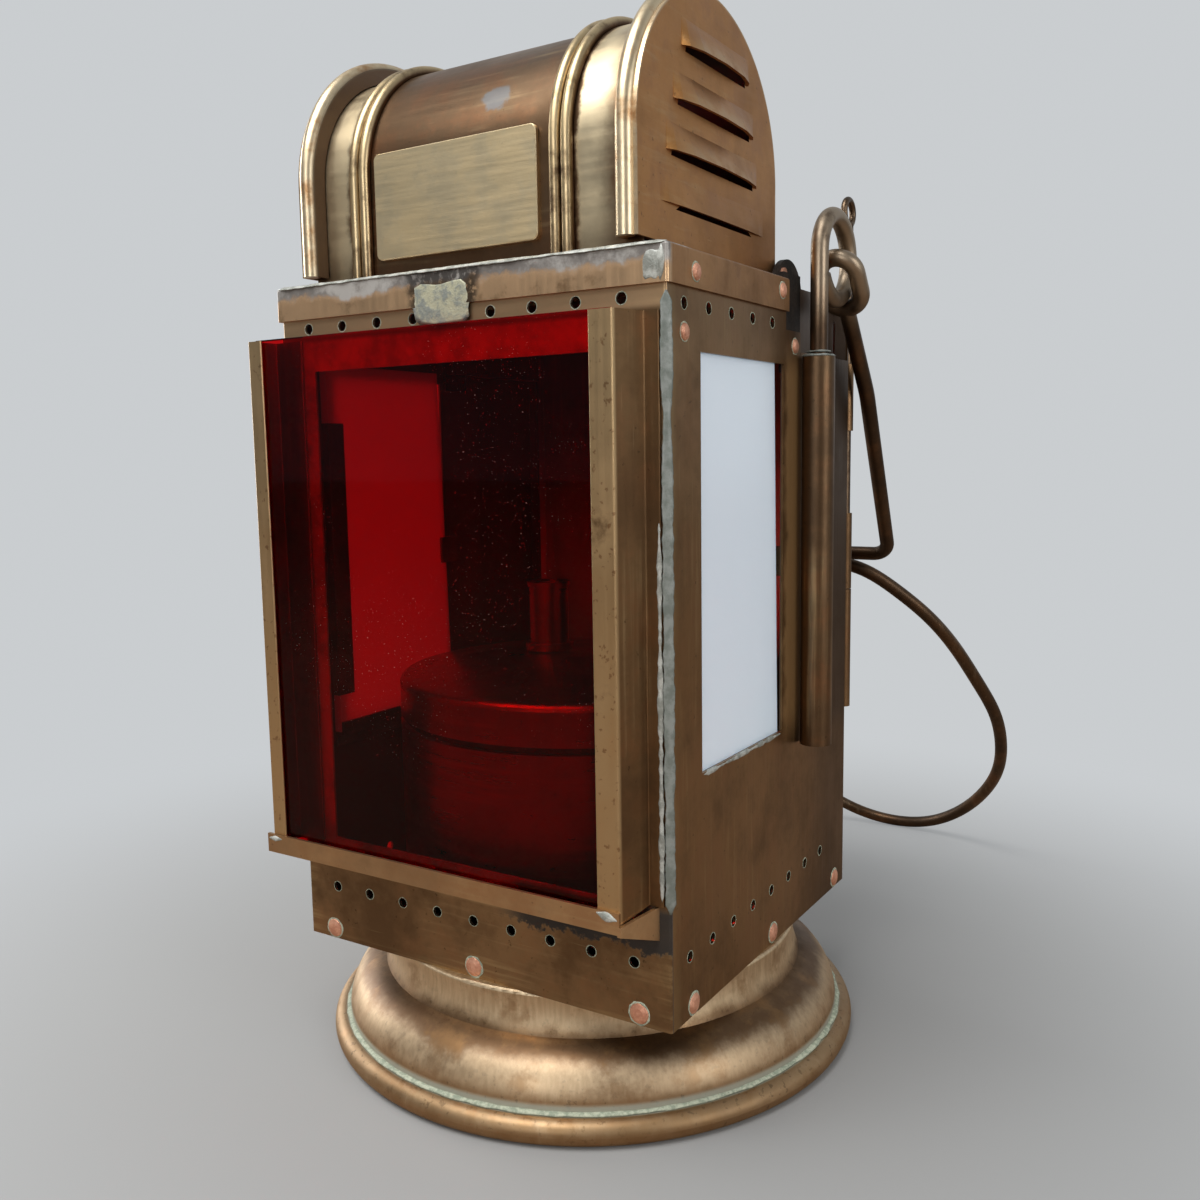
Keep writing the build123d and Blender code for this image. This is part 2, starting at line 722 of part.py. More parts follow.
def make_hinge_collar():
    low, high = hinge_collar_z
    ring = knuckle(low, high)
    return ring - bar("z", (hinge_x, hinge_y), pin_radius + pin_clearance, low - 1, high + 1)


def make_hinge_pin():
    shaft = bar("z", (hinge_x, hinge_y), pin_radius, lower_knuckle[0], pin_top)
    plane = Plane(origin=(hinge_x, hinge_y, pin_top + pull_radius - 0.4), z_dir=(1, 0, 0))
    return shaft + plane * Torus(pull_radius, pull_wire)


def make_door_rivets():
    heads = []
    back = door_face + sheet
    for z in (upper_knuckle[0] + 5, upper_knuckle[1] - 1.5, lower_knuckle[0] + 7, lower_knuckle[1] - 7):
        heads.append(bar("y", (door_x[1] - 3, z), 1.7, back, back + 1.1))
    return heads


def make_door_catch():
    out = -body_half
    strip = span(out - sheet, out, rear_face - 10, door_face + 1, *catch_z)
    bump = bar("z", (out - sheet, door_face - 1), 1.4, *catch_z)
    bump -= span(out - sheet, out + 3, door_face - 4, door_face + 3, catch_z[0] - 1, catch_z[1] + 1)
    return strip + bump


def group(shapes):
    return Compound(children=[s.solid() if hasattr(s, "solid") else s for s in shapes])


def make_all():
    top = body_top + cover_sheet
    parts = {}
    parts["foot"] = make_foot()
    parts["foot_floor"] = make_foot_floor()
    parts["floor_plate"] = make_floor_plate()
    parts["front_panel"] = make_front_panel()
    parts["right_side_panel"] = make_side_panel()
    parts["left_side_panel"] = mirrored(make_side_panel())
    parts["back_frame"] = make_back_frame()
    parts["top_cover"] = make_cover()
    parts["rear_hood"] = make_rear_hood()
    parts["right_bracket"] = make_bracket()
    parts["left_bracket"] = mirrored(make_bracket())
    parts["roof_lugs"] = group([make_lug(), mirrored(make_lug())])
    parts["lug_rivets"] = group([make_lug_rivet(), mirrored(make_lug_rivet())])
    parts["roof_barrel"] = make_barrel()
    parts["right_roof_cap"] = make_cap()
    parts["left_roof_cap"] = mirrored(make_cap())
    parts["number_plate"] = make_name_plate()
    parts["right_glass_guide"] = make_right_guide()
    parts["left_glass_guide"] = make_left_guide()
    parts["bottom_rail"] = make_bottom_rail()
    parts["red_glass"] = make_red_glass()
    parts["right_white_pane"] = make_pane()
    parts["left_white_pane"] = mirrored(make_pane())
    parts["pane_guides"] = group([make_pane_guide(), mirrored(make_pane_guide())])
    parts["pane_ledges"] = group([make_pane_ledge(), mirrored(make_pane_ledge())])
    parts["pane_clips"] = group([make_clip(), mirrored(make_clip())])
    parts["generator_body"] = make_generator_body()
    parts["carbide_pot"] = make_carbide_pot()
    parts["lid_gasket"] = make_gasket()
    parts["generator_lid"] = make_lid()
    parts["burner_collar"] = make_burner_collar()
    parts["burner_tube"] = make_burner_tube()
    parts["burner_tip"] = make_burner_tip()
    parts["right_handle_tube"] = make_handle_tube()
    parts["left_handle_tube"] = mirrored(make_handle_tube())
    parts["right_eye_rod"] = make_eye_rod()
    parts["left_eye_rod"] = mirrored(make_eye_rod())
    parts["bail"] = make_bail()
    parts["grip_loop"] = make_grip_loop()
    parts["rear_door"] = make_rear_door()
    parts["door_rivets"] = group(make_door_rivets())
    parts["door_catch"] = make_door_catch()
    parts["frame_knuckle"] = make_frame_knuckle()
    parts["hinge_collar"] = make_hinge_collar()
    parts["hinge_pin"] = make_hinge_pin()
    front_rivets = []
    for x in front_rivet_x:
        front_rivets.append(rivet((x, front_face, low_rivet_z), (0, -1, 0), big_head, 2 * sheet))
    parts["front_rivets"] = group(front_rivets)
    side_rivets = []
    for y in side_rivet_y:
        side_rivets.append(rivet((body_half, y, low_rivet_z), (1, 0, 0), big_head, 2 * sheet))
    side_rivets += [mirrored(r) for r in side_rivets]
    parts["side_rivets"] = group(side_rivets)
    cover_rivets = []
    for y, z in cover_rivets_yz:
        cover_rivets.append(rivet((body_half + cover_sheet, y, z), (1, 0, 0), small_head, cover_sheet + sheet))
    for y, z in panel_rivets_yz:
        cover_rivets.append(rivet((body_half, y, z), (1, 0, 0), small_head, sheet))
    cover_rivets += [mirrored(r) for r in cover_rivets]
    parts["cover_rivets"] = group(cover_rivets)
    return parts


for name, shape in make_all().items():
    export_step(shape, "parts/" + name + ".step")
    print(name, round(shape.volume, 1))
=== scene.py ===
import bpy
import math
import random
from mathutils import Matrix, Vector


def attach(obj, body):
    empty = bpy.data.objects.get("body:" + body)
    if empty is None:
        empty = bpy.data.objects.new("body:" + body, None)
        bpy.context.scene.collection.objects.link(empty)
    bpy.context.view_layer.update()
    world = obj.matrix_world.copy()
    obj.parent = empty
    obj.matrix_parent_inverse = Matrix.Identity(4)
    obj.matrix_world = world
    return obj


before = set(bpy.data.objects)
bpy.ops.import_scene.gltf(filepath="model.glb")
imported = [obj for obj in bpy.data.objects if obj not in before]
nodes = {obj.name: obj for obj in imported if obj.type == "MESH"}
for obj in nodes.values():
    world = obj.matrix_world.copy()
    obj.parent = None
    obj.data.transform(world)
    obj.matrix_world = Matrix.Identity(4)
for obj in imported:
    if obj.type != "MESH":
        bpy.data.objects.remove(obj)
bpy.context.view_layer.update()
mm = 0.001  # the frame is in metres; places and lengths on the lamp are given in millimetres
print("lamp frame loaded")


# helpers for node trees: a value may be a number, a colour or another node's socket
def plug(tree, socket, value):
    if isinstance(value, bpy.types.NodeSocket):
        tree.links.new(value, socket)
    else:
        socket.default_value = value


def addNode(tree, kind, values, **settings):
    made = tree.nodes.new(kind)
    for key, value in settings.items():
        setattr(made, key, value)
    for key, value in values.items():
        plug(tree, made.inputs[key], value)
    return made


def maths(tree, operation, a, b=0.0, clamp=False):
    return addNode(tree, "ShaderNodeMath", {0: a, 1: b}, operation=operation, use_clamp=clamp).outputs[0]


def plus(tree, a, b):
    return maths(tree, "ADD", a, b)


def minus(tree, a, b):
    return maths(tree, "SUBTRACT", a, b)


def times(tree, *values, clamp=False):
    product = values[0]
    for value in values[1:]:
        product = maths(tree, "MULTIPLY", product, value, clamp)
    return product


def larger(tree, a, b):
    return maths(tree, "MAXIMUM", a, b)


def absolute(tree, a):
    return maths(tree, "ABSOLUTE", a)


def radiusOf(tree, a, b):
    return maths(tree, "SQRT", plus(tree, times(tree, a, a), times(tree, b, b)))


def blendColours(tree, share, first, second):
    values = {0: share}
    for key, tone in ((6, first), (7, second)):
        values[key] = tone if isinstance(tone, bpy.types.NodeSocket) else (*tone[:3], 1.0)
    return addNode(tree, "ShaderNodeMix", values, data_type="RGBA").outputs[2]


def stretchedNoise(tree, place, scale, detail, rough, shift=0.0):
    mapping = addNode(tree, "ShaderNodeMapping", {"Vector": place, "Scale": scale, "Location": (shift,) * 3})
    values = {"Vector": mapping.outputs[0], "Scale": 1.0, "Detail": detail, "Roughness": rough}
    return addNode(tree, "ShaderNodeTexNoise", values).outputs[0]


def ramp(tree, value, low, high):
    values = {"Value": value, "From Min": low, "From Max": high}
    return addNode(tree, "ShaderNodeMapRange", values, interpolation_type="SMOOTHSTEP").outputs[0]


# soft edge of a stain: nothing at the first place, all of it at the second
def edge(tree, value, ends):
    return ramp(tree, value, ends[0] * mm, ends[1] * mm)


# how far a noise moves the edge of a stain
def wander(tree, noise, spread):
    return times(tree, minus(tree, noise, 0.5), spread * mm)


# a mark is a dictionary with a share and a tone
def tint(tree, colour, mask, mark):
    return blendColours(tree, times(tree, mask, mark["share"]), colour, mark["tone"])


def lessMetal(tree, mask, share):
    return minus(tree, 1.0, times(tree, mask, share))


def bump(tree, height, strength, reach, under=None):
    values = {"Strength": strength, "Distance": reach * mm, "Height": height}
    if under is not None:
        values["Normal"] = under
    return addNode(tree, "ShaderNodeBump", values).outputs[0]


def objectPlace(tree):
    return tree.nodes.new("ShaderNodeTexCoord").outputs["Object"]


def emptyMaterial(name):
    material = bpy.data.materials.new(name)
    material.use_nodes = True
    tree = material.node_tree
    tree.nodes.clear()
    shader = tree.nodes.new("ShaderNodeBsdfPrincipled")
    output = tree.nodes.new("ShaderNodeOutputMaterial")
    tree.links.new(shader.outputs[0], output.inputs[0])
    return material, tree, shader


# what all brass shares; each range is of noise values
brassDefaults = {
    "base": (0.30, 0.18, 0.080),
    "reddish": (0.27, 0.115, 0.050), "redShare": 0.35, "redRange": (0.44, 0.66),
    "patina": (0.105, 0.056, 0.026), "patinaShare": 0.55, "patinaGain": 1.5,
    "patinaRange": (0.62, 0.36), "cloudPart": 0.6,
    "worn": (0.66, 0.50, 0.27), "wornShare": 0.25, "wornRange": (0.50, 0.74), "wornPlaces": (0.42, 0.62),
    "scratchRange": (0.70, 0.80), "scratchLeast": 0.05, "scratchGain": 0.45,
    "speck": 0.5, "speckRange": (0.66, 0.74), "speckTone": 0.35,
    "rough": 0.36, "roughPatina": 0.16, "roughBrush": 0.22,
    "brush": (700, 700, 18), "brushDepth": 0.10, "fineDepth": 0.10, "fineReach": 0.2,
    "dent": 0.35, "dentReach": 1.2,
    "haze": 0.12, "hazeRough": 0.38,
    "seed": 0.0,
}
# scale, detail, roughness and shift of each noise; brush and scratch multiply the finish's own brush
brassNoises = {
    "cloud": (26, 5.0, 0.6, 0), "mottle": (95, 6.0, 0.65, 3), "fine": (620, 3.0, 0.6, 7),
    "brush": (1.0, 3.0, 0.6, 11), "scratch": (2.1, 2.0, 0.5, 19), "dents": (38, 2.0, 0.5, 23),
}


# aged brass; wear is a function that adds the stains of one piece
def agedBrass(name, wear=None, **changes):
    look = {**brassDefaults, **changes}
    material, tree, shader = emptyMaterial(name)
    place = objectPlace(tree)
    noises = {}
    for key, (scale, detail, rough, shift) in brassNoises.items():
        stretch = [scale * v for v in (look["brush"] if key in ("brush", "scratch") else (1, 1, 1))]
        noises[key] = stretchedNoise(tree, place, stretch, detail, rough, look["seed"] + shift)
    cloud, mottle, fine, brush = (noises[key] for key in ("cloud", "mottle", "fine", "brush"))

    red = times(tree, ramp(tree, mottle, *look["redRange"]), look["redShare"])
    colour = blendColours(tree, red, look["base"], look["reddish"])
    mixed = plus(tree, times(tree, cloud, look["cloudPart"]), times(tree, mottle, 1 - look["cloudPart"]))
    patina = ramp(tree, mixed, *look["patinaRange"])
    patina = times(tree, patina, look["patinaShare"] * look["patinaGain"], clamp=True)
    colour = blendColours(tree, patina, colour, look["patina"])
    rubbed = times(tree, ramp(tree, brush, *look["wornRange"]), ramp(tree, cloud, *look["wornPlaces"]))
    rubbed = times(tree, rubbed, look["wornShare"], clamp=True)
    scratchShare = look["scratchGain"] * look["wornShare"] + look["scratchLeast"]
    scratched = times(tree, ramp(tree, noises["scratch"], *look["scratchRange"]), scratchShare)
    colour = blendColours(tree, larger(tree, rubbed, scratched), colour, look["worn"])
    specks = times(tree, ramp(tree, fine, *look["speckRange"]), look["speck"])
    colour = blendColours(tree, specks, colour, [v * look["speckTone"] for v in look["patina"]])
    rough = plus(tree, look["rough"], times(tree, patina, look["roughPatina"]))
    rough = plus(tree, rough, times(tree, minus(tree, brush, 0.5), look["roughBrush"]))
    metal = 1.0
    if wear:
        axes = addNode(tree, "ShaderNodeSeparateXYZ", {"Vector": place}).outputs
        colour, rough, metal = wear(tree, axes, noises, colour, rough)

    plug(tree, shader.inputs["Base Color"], colour)
    plug(tree, shader.inputs["Roughness"], rough)
    plug(tree, shader.inputs["Metallic"], metal)
    shader.inputs["Coat Weight"].default_value = look["haze"]
    shader.inputs["Coat Roughness"].default_value = look["hazeRough"]
    relief = bump(tree, brush, look["brushDepth"], look["fineReach"])
    relief = bump(tree, fine, look["fineDepth"], look["fineReach"], relief)
    relief = bump(tree, noises["dents"], look["dent"], look["dentReach"], relief)
    plug(tree, shader.inputs["Normal"], relief)
    return material


# iron, solder, corrosion and small inner pieces: two tones in a gentle noise
plain = {
    "cloud": (5.0, 0.62), "range": (0.38, 0.62), "grain": (3.0, 0.6, 5.0), "grainTimes": 6, "grainBump": 0.3,
    "spread": 0.30, "reach": 0.4,
}


def plainFinish(name, first, second, metallic, rough, scale=160, strength=0.25):
    material, tree, shader = emptyMaterial(name)
    place = objectPlace(tree)
    cloud = stretchedNoise(tree, place, (scale,) * 3, *plain["cloud"])
    grain = stretchedNoise(tree, place, (scale * plain["grainTimes"],) * 3, *plain["grain"])
    colour = blendColours(tree, ramp(tree, cloud, *plain["range"]), first, second)
    plug(tree, shader.inputs["Base Color"], colour)
    shine = plus(tree, rough, times(tree, minus(tree, grain, 0.5), plain["spread"]))
    plug(tree, shader.inputs["Roughness"], shine)
    shader.inputs["Metallic"].default_value = metallic
    height = plus(tree, cloud, times(tree, grain, plain["grainBump"]))
    plug(tree, shader.inputs["Normal"], bump(tree, height, strength, plain["reach"]))
    return material


# soot on the faces that look at the flame
darkening = {"share": 0.85, "tone": (0.085, 0.060, 0.045), "dull": 0.55}


def sooted(tree, colour, metal, inside):
    return tint(tree, colour, inside, darkening), times(tree, lessMetal(tree, inside, darkening["dull"]), metal)


# foot: brown crease under the neck, neck and crown paler, partly rubbed wear and partly painted highlight,
# corroded groove inside the rolled rim
foot = {
    "wander": 6.0, "streakRange": (0.25, 0.75), "streakLeast": 0.62,
    "crease": {"height": 18.2, "spread": (0.5, 5.2), "share": 0.90, "tone": (0.13, 0.070, 0.034)},
    "neckWearAndHighlight": {"from": (20.5, 24.5), "share": 0.85, "tone": (0.82, 0.66, 0.44)},
    "crownWearAndHighlight": {"from": (8.5, 11.5), "to": (18.5, 15.0), "share": 0.55, "tone": (0.80, 0.62, 0.41)},
    "stain": {"range": (0.50, 0.66), "least": 0.25, "clouded": 0.5, "tone": (0.30, 0.165, 0.066)},
    "rim": {"from": (74.2, 76.2), "range": (0.36, 0.62), "share": 0.6, "tone": (0.34, 0.22, 0.11)},
    "rimDull": {"from": (73.5, 75.0), "rough": 0.06},
    "groove": {"radius": 72.6, "spread": (1.2, 0.4), "under": (9.5, 8.2), "share": 0.8,
               "tone": (0.30, 0.32, 0.27), "dull": 0.75},
}


def footWear(tree, axes, noises, colour, rough):
    x, y, z = axes
    crease, neckWearAndHighlight, crownWearAndHighlight, stain = (foot[key] for key in ("crease", "neckWearAndHighlight", "crownWearAndHighlight", "stain"))
    rim, rimDull, groove = (foot[key] for key in ("rim", "rimDull", "groove"))
    mottle = noises["mottle"]
    r = radiusOf(tree, x, y)
    height = plus(tree, z, wander(tree, mottle, foot["wander"]))
    creased = edge(tree, absolute(tree, minus(tree, height, crease["height"] * mm)), crease["spread"])
    colour = tint(tree, colour, minus(tree, 1.0, creased), crease)
    streaks = times(tree, ramp(tree, noises["brush"], *foot["streakRange"]), 1 - foot["streakLeast"])
    streaks = plus(tree, foot["streakLeast"], streaks)
    # painted highlight mixed with rubbed wear: the neck and the crown of the ogee are lightened where the light
    # catches them
    colour = tint(tree, colour, times(tree, edge(tree, height, neckWearAndHighlight["from"]), streaks), neckWearAndHighlight)
    crownWearAndHighlightMask = times(tree, edge(tree, height, crownWearAndHighlight["from"]), edge(tree, height, crownWearAndHighlight["to"]), streaks)
    colour = tint(tree, colour, crownWearAndHighlightMask, crownWearAndHighlight)
    stainShare = plus(tree, stain["least"], times(tree, noises["cloud"], stain["clouded"]))
    stained = times(tree, ramp(tree, mottle, *stain["range"]), stainShare)
    colour = blendColours(tree, stained, colour, stain["tone"])
    rimmed = times(tree, edge(tree, r, rim["from"]), ramp(tree, mottle, *rim["range"]))
    colour = tint(tree, colour, rimmed, rim)
    rough = plus(tree, rough, times(tree, edge(tree, r, rimDull["from"]), rimDull["rough"]))
    grooved = edge(tree, absolute(tree, minus(tree, r, groove["radius"] * mm)), groove["spread"])
    grooved = times(tree, grooved, edge(tree, z, groove["under"]))
    return tint(tree, colour, grooved, groove), rough, lessMetal(tree, grooved, groove["dull"])


# front sheet: rubbed edges, near-black at the right below the rail, brass behind the glass brightened with
# painted light
panel = {
    "half": 58.5, "front": -57.5, "inside": (-57.1, -56.9), "wander": 10.0,
    "rub": {"side": (53.5, 59.0), "low": (34.5, 30.0), "range": (0.40, 0.66), "share": 0.35,
            "tone": (0.60, 0.45, 0.23)},
    "darkening": {"wander": 6.0, "from": (48.7, 50.0), "right": (6.0, 18.0), "to": (62.0, 59.5), "onTop": (197, 200),
             "topShare": 0.08, "share": 0.93, "tone": (0.012, 0.011, 0.011), "rough": 0.22, "dull": 0.8},
    "paintedGlassLight": {"top": (196.5, 195.0), "low": (58.0, 60.0), "right": (48.0, 46.0), "range": (0.35, 0.62),
               "least": 0.35, "more": 0.55, "tone": (0.92, 0.70, 0.42)},
    "strip": {"from": (196.0, 197.5), "share": 0.65, "tone": (0.62, 0.42, 0.24)},
}


def panelWear(tree, axes, noises, colour, rough):
    x, y, z = axes
    rub, nearBlackBand, paintedGlassLight, strip = (panel[key] for key in ("rub", "darkening", "paintedGlassLight", "strip"))
    mottle = noises["mottle"]
    wobble = wander(tree, mottle, panel["wander"])
    height = plus(tree, z, wobble)
    sides = edge(tree, plus(tree, absolute(tree, x), wobble), rub["side"])
    rubbed = larger(tree, sides, edge(tree, height, rub["low"]))
    colour = tint(tree, colour, times(tree, rubbed, ramp(tree, noises["brush"], *rub["range"])), rub)
    # painted light: the brass seen through the red glass is brightened to stand in for the light that reaches
    # it
    paintedLightBehindGlass = times(tree, edge(tree, z, paintedGlassLight["top"]), edge(tree, z, paintedGlassLight["low"]),
                        edge(tree, x, paintedGlassLight["right"]))
    shine = plus(tree, paintedGlassLight["least"], times(tree, ramp(tree, mottle, *paintedGlassLight["range"]), paintedGlassLight["more"]))
    colour = blendColours(tree, times(tree, paintedLightBehindGlass, shine), colour, paintedGlassLight["tone"])
    colour = tint(tree, colour, edge(tree, z, strip["from"]), strip)
    # a near-black band at the right below the rail, and slightly darker along the top of the sheet
    nearBlackLine = plus(tree, plus(tree, z, wander(tree, noises["fine"], nearBlackBand["wander"])), wobble)
    low = times(tree, edge(tree, nearBlackLine, nearBlackBand["from"]),
                edge(tree, plus(tree, x, wobble), nearBlackBand["right"]), edge(tree, z, nearBlackBand["to"]))
    dark = larger(tree, low, times(tree, edge(tree, height, nearBlackBand["onTop"]), nearBlackBand["topShare"]))
    colour = tint(tree, colour, dark, nearBlackBand)
    rough = plus(tree, rough, times(tree, dark, nearBlackBand["rough"]))
    metal = lessMetal(tree, dark, nearBlackBand["dull"])
    colour, metal = sooted(tree, colour, metal, edge(tree, y, panel["inside"]))
    return colour, rough, metal


# side sheets: rubbed front edge, duller strip between window and tube, painted shade at the rear and behind the
# tube, dark at the top
side = {
    "wander": 12.0, "inside": (58.0, 57.8),
    "front": {"from": (-52.5, -57.0), "share": 0.30, "tone": (0.55, 0.40, 0.20)},
    "rear": {"from": (18.0, 46.0), "share": 0.60, "tone": (0.060, 0.034, 0.018)},
    "strip": {"from": (6.0, 10.0), "to": (24.0, 20.0), "low": (82, 96), "high": (196, 184), "share": 0.8,
              "tone": (0.24, 0.135, 0.052), "dull": 0.65},
    "tubeShade": {"from": (24.0, 26.5), "low": (80, 88), "share": 0.75, "tone": (0.060, 0.034, 0.017)},
    "top": {"from": (185, 200), "share": 0.30, "tone": (0.10, 0.052, 0.025)},
}


def sideWear(tree, axes, noises, colour, rough):
    x, y, z = axes
    strip, tubeShade = side["strip"], side["tubeShade"]
    wobble = wander(tree, noises["mottle"], side["wander"])
    along = plus(tree, y, wobble)
    colour = tint(tree, colour, edge(tree, along, side["front"]["from"]), side["front"])
    # painted shade: the rear of the sides, the hood and the frame is darkened where the tube and the bracket
    # shade it
    colour = tint(tree, colour, edge(tree, along, side["rear"]["from"]), side["rear"])
    dulled = times(tree, edge(tree, along, strip["from"]), edge(tree, y, strip["to"]),
                   edge(tree, z, strip["low"]), edge(tree, z, strip["high"]))
    colour = tint(tree, colour, dulled, strip)
    # painted shadow of the handle tube on the sheet behind it
    shaded = times(tree, edge(tree, y, tubeShade["from"]), edge(tree, z, tubeShade["low"]))
    colour = tint(tree, colour, shaded, tubeShade)
    colour = tint(tree, colour, edge(tree, plus(tree, z, wobble), side["top"]["from"]), side["top"])
    inside = edge(tree, absolute(tree, x), side["inside"])
    colour, metal = sooted(tree, colour, lessMetal(tree, dulled, strip["dull"]), inside)
    return colour, rough, metal


# barrel roof: worn beads, painted reflections as bright bands beside the caps, a small tin spot, dark along the
# foot
roof = {
    "axisY": -19.3, "axisZ": 235.5, "inside": (32.5, 32.3), "wander": 7.0,
    "bead": {"from": (33.6, 35.0), "range": (0.30, 0.52), "share": 0.85, "tone": (0.72, 0.56, 0.32)},
    "reflectionBand": {"right": ((32.5, 34.0), (45.0, 36.5)), "left": ((-36.5, -39.0), (-48.5, -44.0)),
             "front": (0.0, -20.0), "share": 0.88, "tone": (0.90, 0.75, 0.49)},
    "spot": {"x": 8.0, "z": 249.8, "wander": 12.0, "spread": (4.2, 2.6), "front": (10.0, 0.0), "share": 0.60,
             "tone": (0.17, 0.20, 0.22)},
    "low": {"from": (226, 214), "wander": 10.0, "share": 0.6, "tone": (0.10, 0.045, 0.020)},
}


# how far a place lies behind the barrel's axis, and how far from the axis; below it only sideways
def barrelPlace(tree, y, z):
    above = larger(tree, minus(tree, z, roof["axisZ"] * mm), 0.0)
    back = plus(tree, y, -roof["axisY"] * mm)
    return back, radiusOf(tree, back, above)


def roofWear(tree, axes, noises, colour, rough):
    x, y, z = axes
    bead, reflectionBand, spot, low = (roof[key] for key in ("bead", "reflectionBand", "spot", "low"))
    mottle = noises["mottle"]
    back, r = barrelPlace(tree, y, z)
    rubbed = times(tree, edge(tree, r, bead["from"]), ramp(tree, mottle, *bead["range"]))
    colour = tint(tree, colour, rubbed, bead)
    # painted reflection: bright bands on the front of the barrel beside the caps stand in for reflected light
    ragged = plus(tree, x, wander(tree, mottle, roof["wander"]))
    right, left = (times(tree, *(edge(tree, ragged, ends) for ends in reflectionBand[key])) for key in ("right", "left"))
    paintedReflection = times(tree, larger(tree, right, left), edge(tree, back, reflectionBand["front"]))
    colour = tint(tree, colour, paintedReflection, reflectionBand)
    fromSpot = radiusOf(tree, minus(tree, x, spot["x"] * mm), minus(tree, z, spot["z"] * mm))
    fromSpot = plus(tree, fromSpot, wander(tree, mottle, spot["wander"]))
    tinned = times(tree, edge(tree, fromSpot, spot["spread"]), edge(tree, back, spot["front"]))
    colour = tint(tree, colour, tinned, spot)
    height = plus(tree, z, times(tree, mottle, low["wander"] * mm))
    colour = tint(tree, colour, edge(tree, height, low["from"]), low)
    colour, metal = sooted(tree, colour, 1.0, edge(tree, r, roof["inside"]))
    return colour, rough, metal


# roof caps: worn rolled edge and louvre tips, black inside
cap = {
    "bead": {"from": (36.6, 37.6), "range": (0.30, 0.55), "share": 0.85, "tone": (0.82, 0.70, 0.48)},
    "tip": {"from": (51.8, 53.6), "range": (0.34, 0.56), "share": 0.45, "tone": (0.66, 0.50, 0.28)},
    "hidden": {"from": (46.2, 45.4), "share": 0.85, "tone": (0.03, 0.026, 0.022), "dull": 0.6},
}


def capWear(tree, axes, noises, colour, rough):
    x, y, z = axes
    bead, tip, hidden = (cap[key] for key in ("bead", "tip", "hidden"))
    back, r = barrelPlace(tree, y, z)
    mottle, across = noises["mottle"], absolute(tree, x)
    rubbed = times(tree, edge(tree, r, bead["from"]), ramp(tree, mottle, *bead["range"]))
    colour = tint(tree, colour, rubbed, bead)
    tipped = times(tree, edge(tree, across, tip["from"]), ramp(tree, mottle, *tip["range"]))
    colour = tint(tree, colour, tipped, tip)
    inner = edge(tree, across, hidden["from"])
    return tint(tree, colour, inner, hidden), rough, lessMetal(tree, inner, hidden["dull"])


# top cover: tinned along its front edge, pale brass and stains below, burnt round the tin patch
cover = {
    "wander": 10.0, "front": (-56.0, -57.5),
    "tin": {"from": (204.8, 207.2), "onTop": (209.6, 209.9), "topFront": (-46, -50), "range": (0.40, 0.60),
            "dark": (0.17, 0.17, 0.165), "pale": (0.46, 0.46, 0.44), "share": 0.9, "rough": 0.10, "dull": 0.6},
    "bare": {"share": 0.75, "tone": (0.80, 0.55, 0.33)},
    "stain": {"range": (0.52, 0.64), "share": 0.5, "tone": (0.24, 0.12, 0.045)},
    "burnt": {"x": -3.0, "spread": (12.5, 9.5), "range": (0.30, 0.50), "share": 0.85,
              "tone": (0.030, 0.024, 0.020)},
}


def coverWear(tree, axes, noises, colour, rough):
    x, y, z = axes
    tin, bare, stain, burnt = (cover[key] for key in ("tin", "bare", "stain", "burnt"))
    mottle = noises["mottle"]
    wobble = wander(tree, mottle, cover["wander"])
    front = edge(tree, y, cover["front"])
    onTop = times(tree, edge(tree, z, tin["onTop"]), edge(tree, plus(tree, y, wobble), tin["topFront"]))
    tinned = larger(tree, times(tree, edge(tree, plus(tree, z, wobble), tin["from"]), front), onTop)
    tinTone = blendColours(tree, ramp(tree, mottle, *tin["range"]), tin["dark"], tin["pale"])
    colour = blendColours(tree, times(tree, tinned, tin["share"]), colour, tinTone)
    rough = plus(tree, rough, times(tree, tinned, tin["rough"]))
    untinned = minus(tree, 1.0, tinned)
    colour = tint(tree, colour, times(tree, front, untinned), bare)
    colour = tint(tree, colour, times(tree, ramp(tree, mottle, *stain["range"]), untinned), stain)
    fromPatch = absolute(tree, plus(tree, plus(tree, x, -burnt["x"] * mm), wobble))
    sooty = ramp(tree, noises["fine"], *burnt["range"])
    black = times(tree, edge(tree, fromPatch, burnt["spread"]), front, sooty)
    return tint(tree, colour, black, burnt), rough, lessMetal(tree, tinned, tin["dull"])


# pale blotches of the bare plate
plate = {"range": (0.46, 0.60), "share": 0.30, "tone": (0.74, 0.66, 0.46)}


def plateWear(tree, axes, noises, colour, rough):
    return tint(tree, colour, ramp(tree, noises["mottle"], *plate["range"]), plate), rough, 1.0


# the handle wire is lighter where the bail runs over the eyes: partly rubbed wear, partly a painted highlight
wire = {"from": (197, 213), "range": (0.25, 0.50), "share": 0.75, "tone": (0.44, 0.35, 0.25)}


def wireWearAndHighlight(tree, axes, noises, colour, rough):
    rubbed = times(tree, edge(tree, axes[2], wire["from"]), ramp(tree, noises["mottle"], *wire["range"]))
    return tint(tree, colour, rubbed, wire), rough, 1.0


# the door's inner face is bright below the flame, and shows red through the glass
door = {"inside": (61.5, 61.2), "low": (175, 115), "right": (54.6, 54.4), "left": (-56.6, -56.4), "share": 0.9,
        "tone": (0.90, 0.68, 0.42)}


def doorWear(tree, axes, noises, colour, rough):
    x, y, z = axes
    inner = times(tree, edge(tree, y, door["inside"]), edge(tree, z, door["low"]),
                  edge(tree, x, door["right"]), edge(tree, x, door["left"]))
    return tint(tree, colour, inner, door), rough, 1.0


# the guides' front faces are rubbed, with small brown pits
guide = {
    "front": (-65.5, -66.4),
    "rub": {"range": (0.15, 0.42), "share": 0.85, "tone": (0.61, 0.43, 0.23)},
    "pits": {"range": (0.60, 0.70), "share": 0.6, "tone": (0.20, 0.085, 0.030)},
}


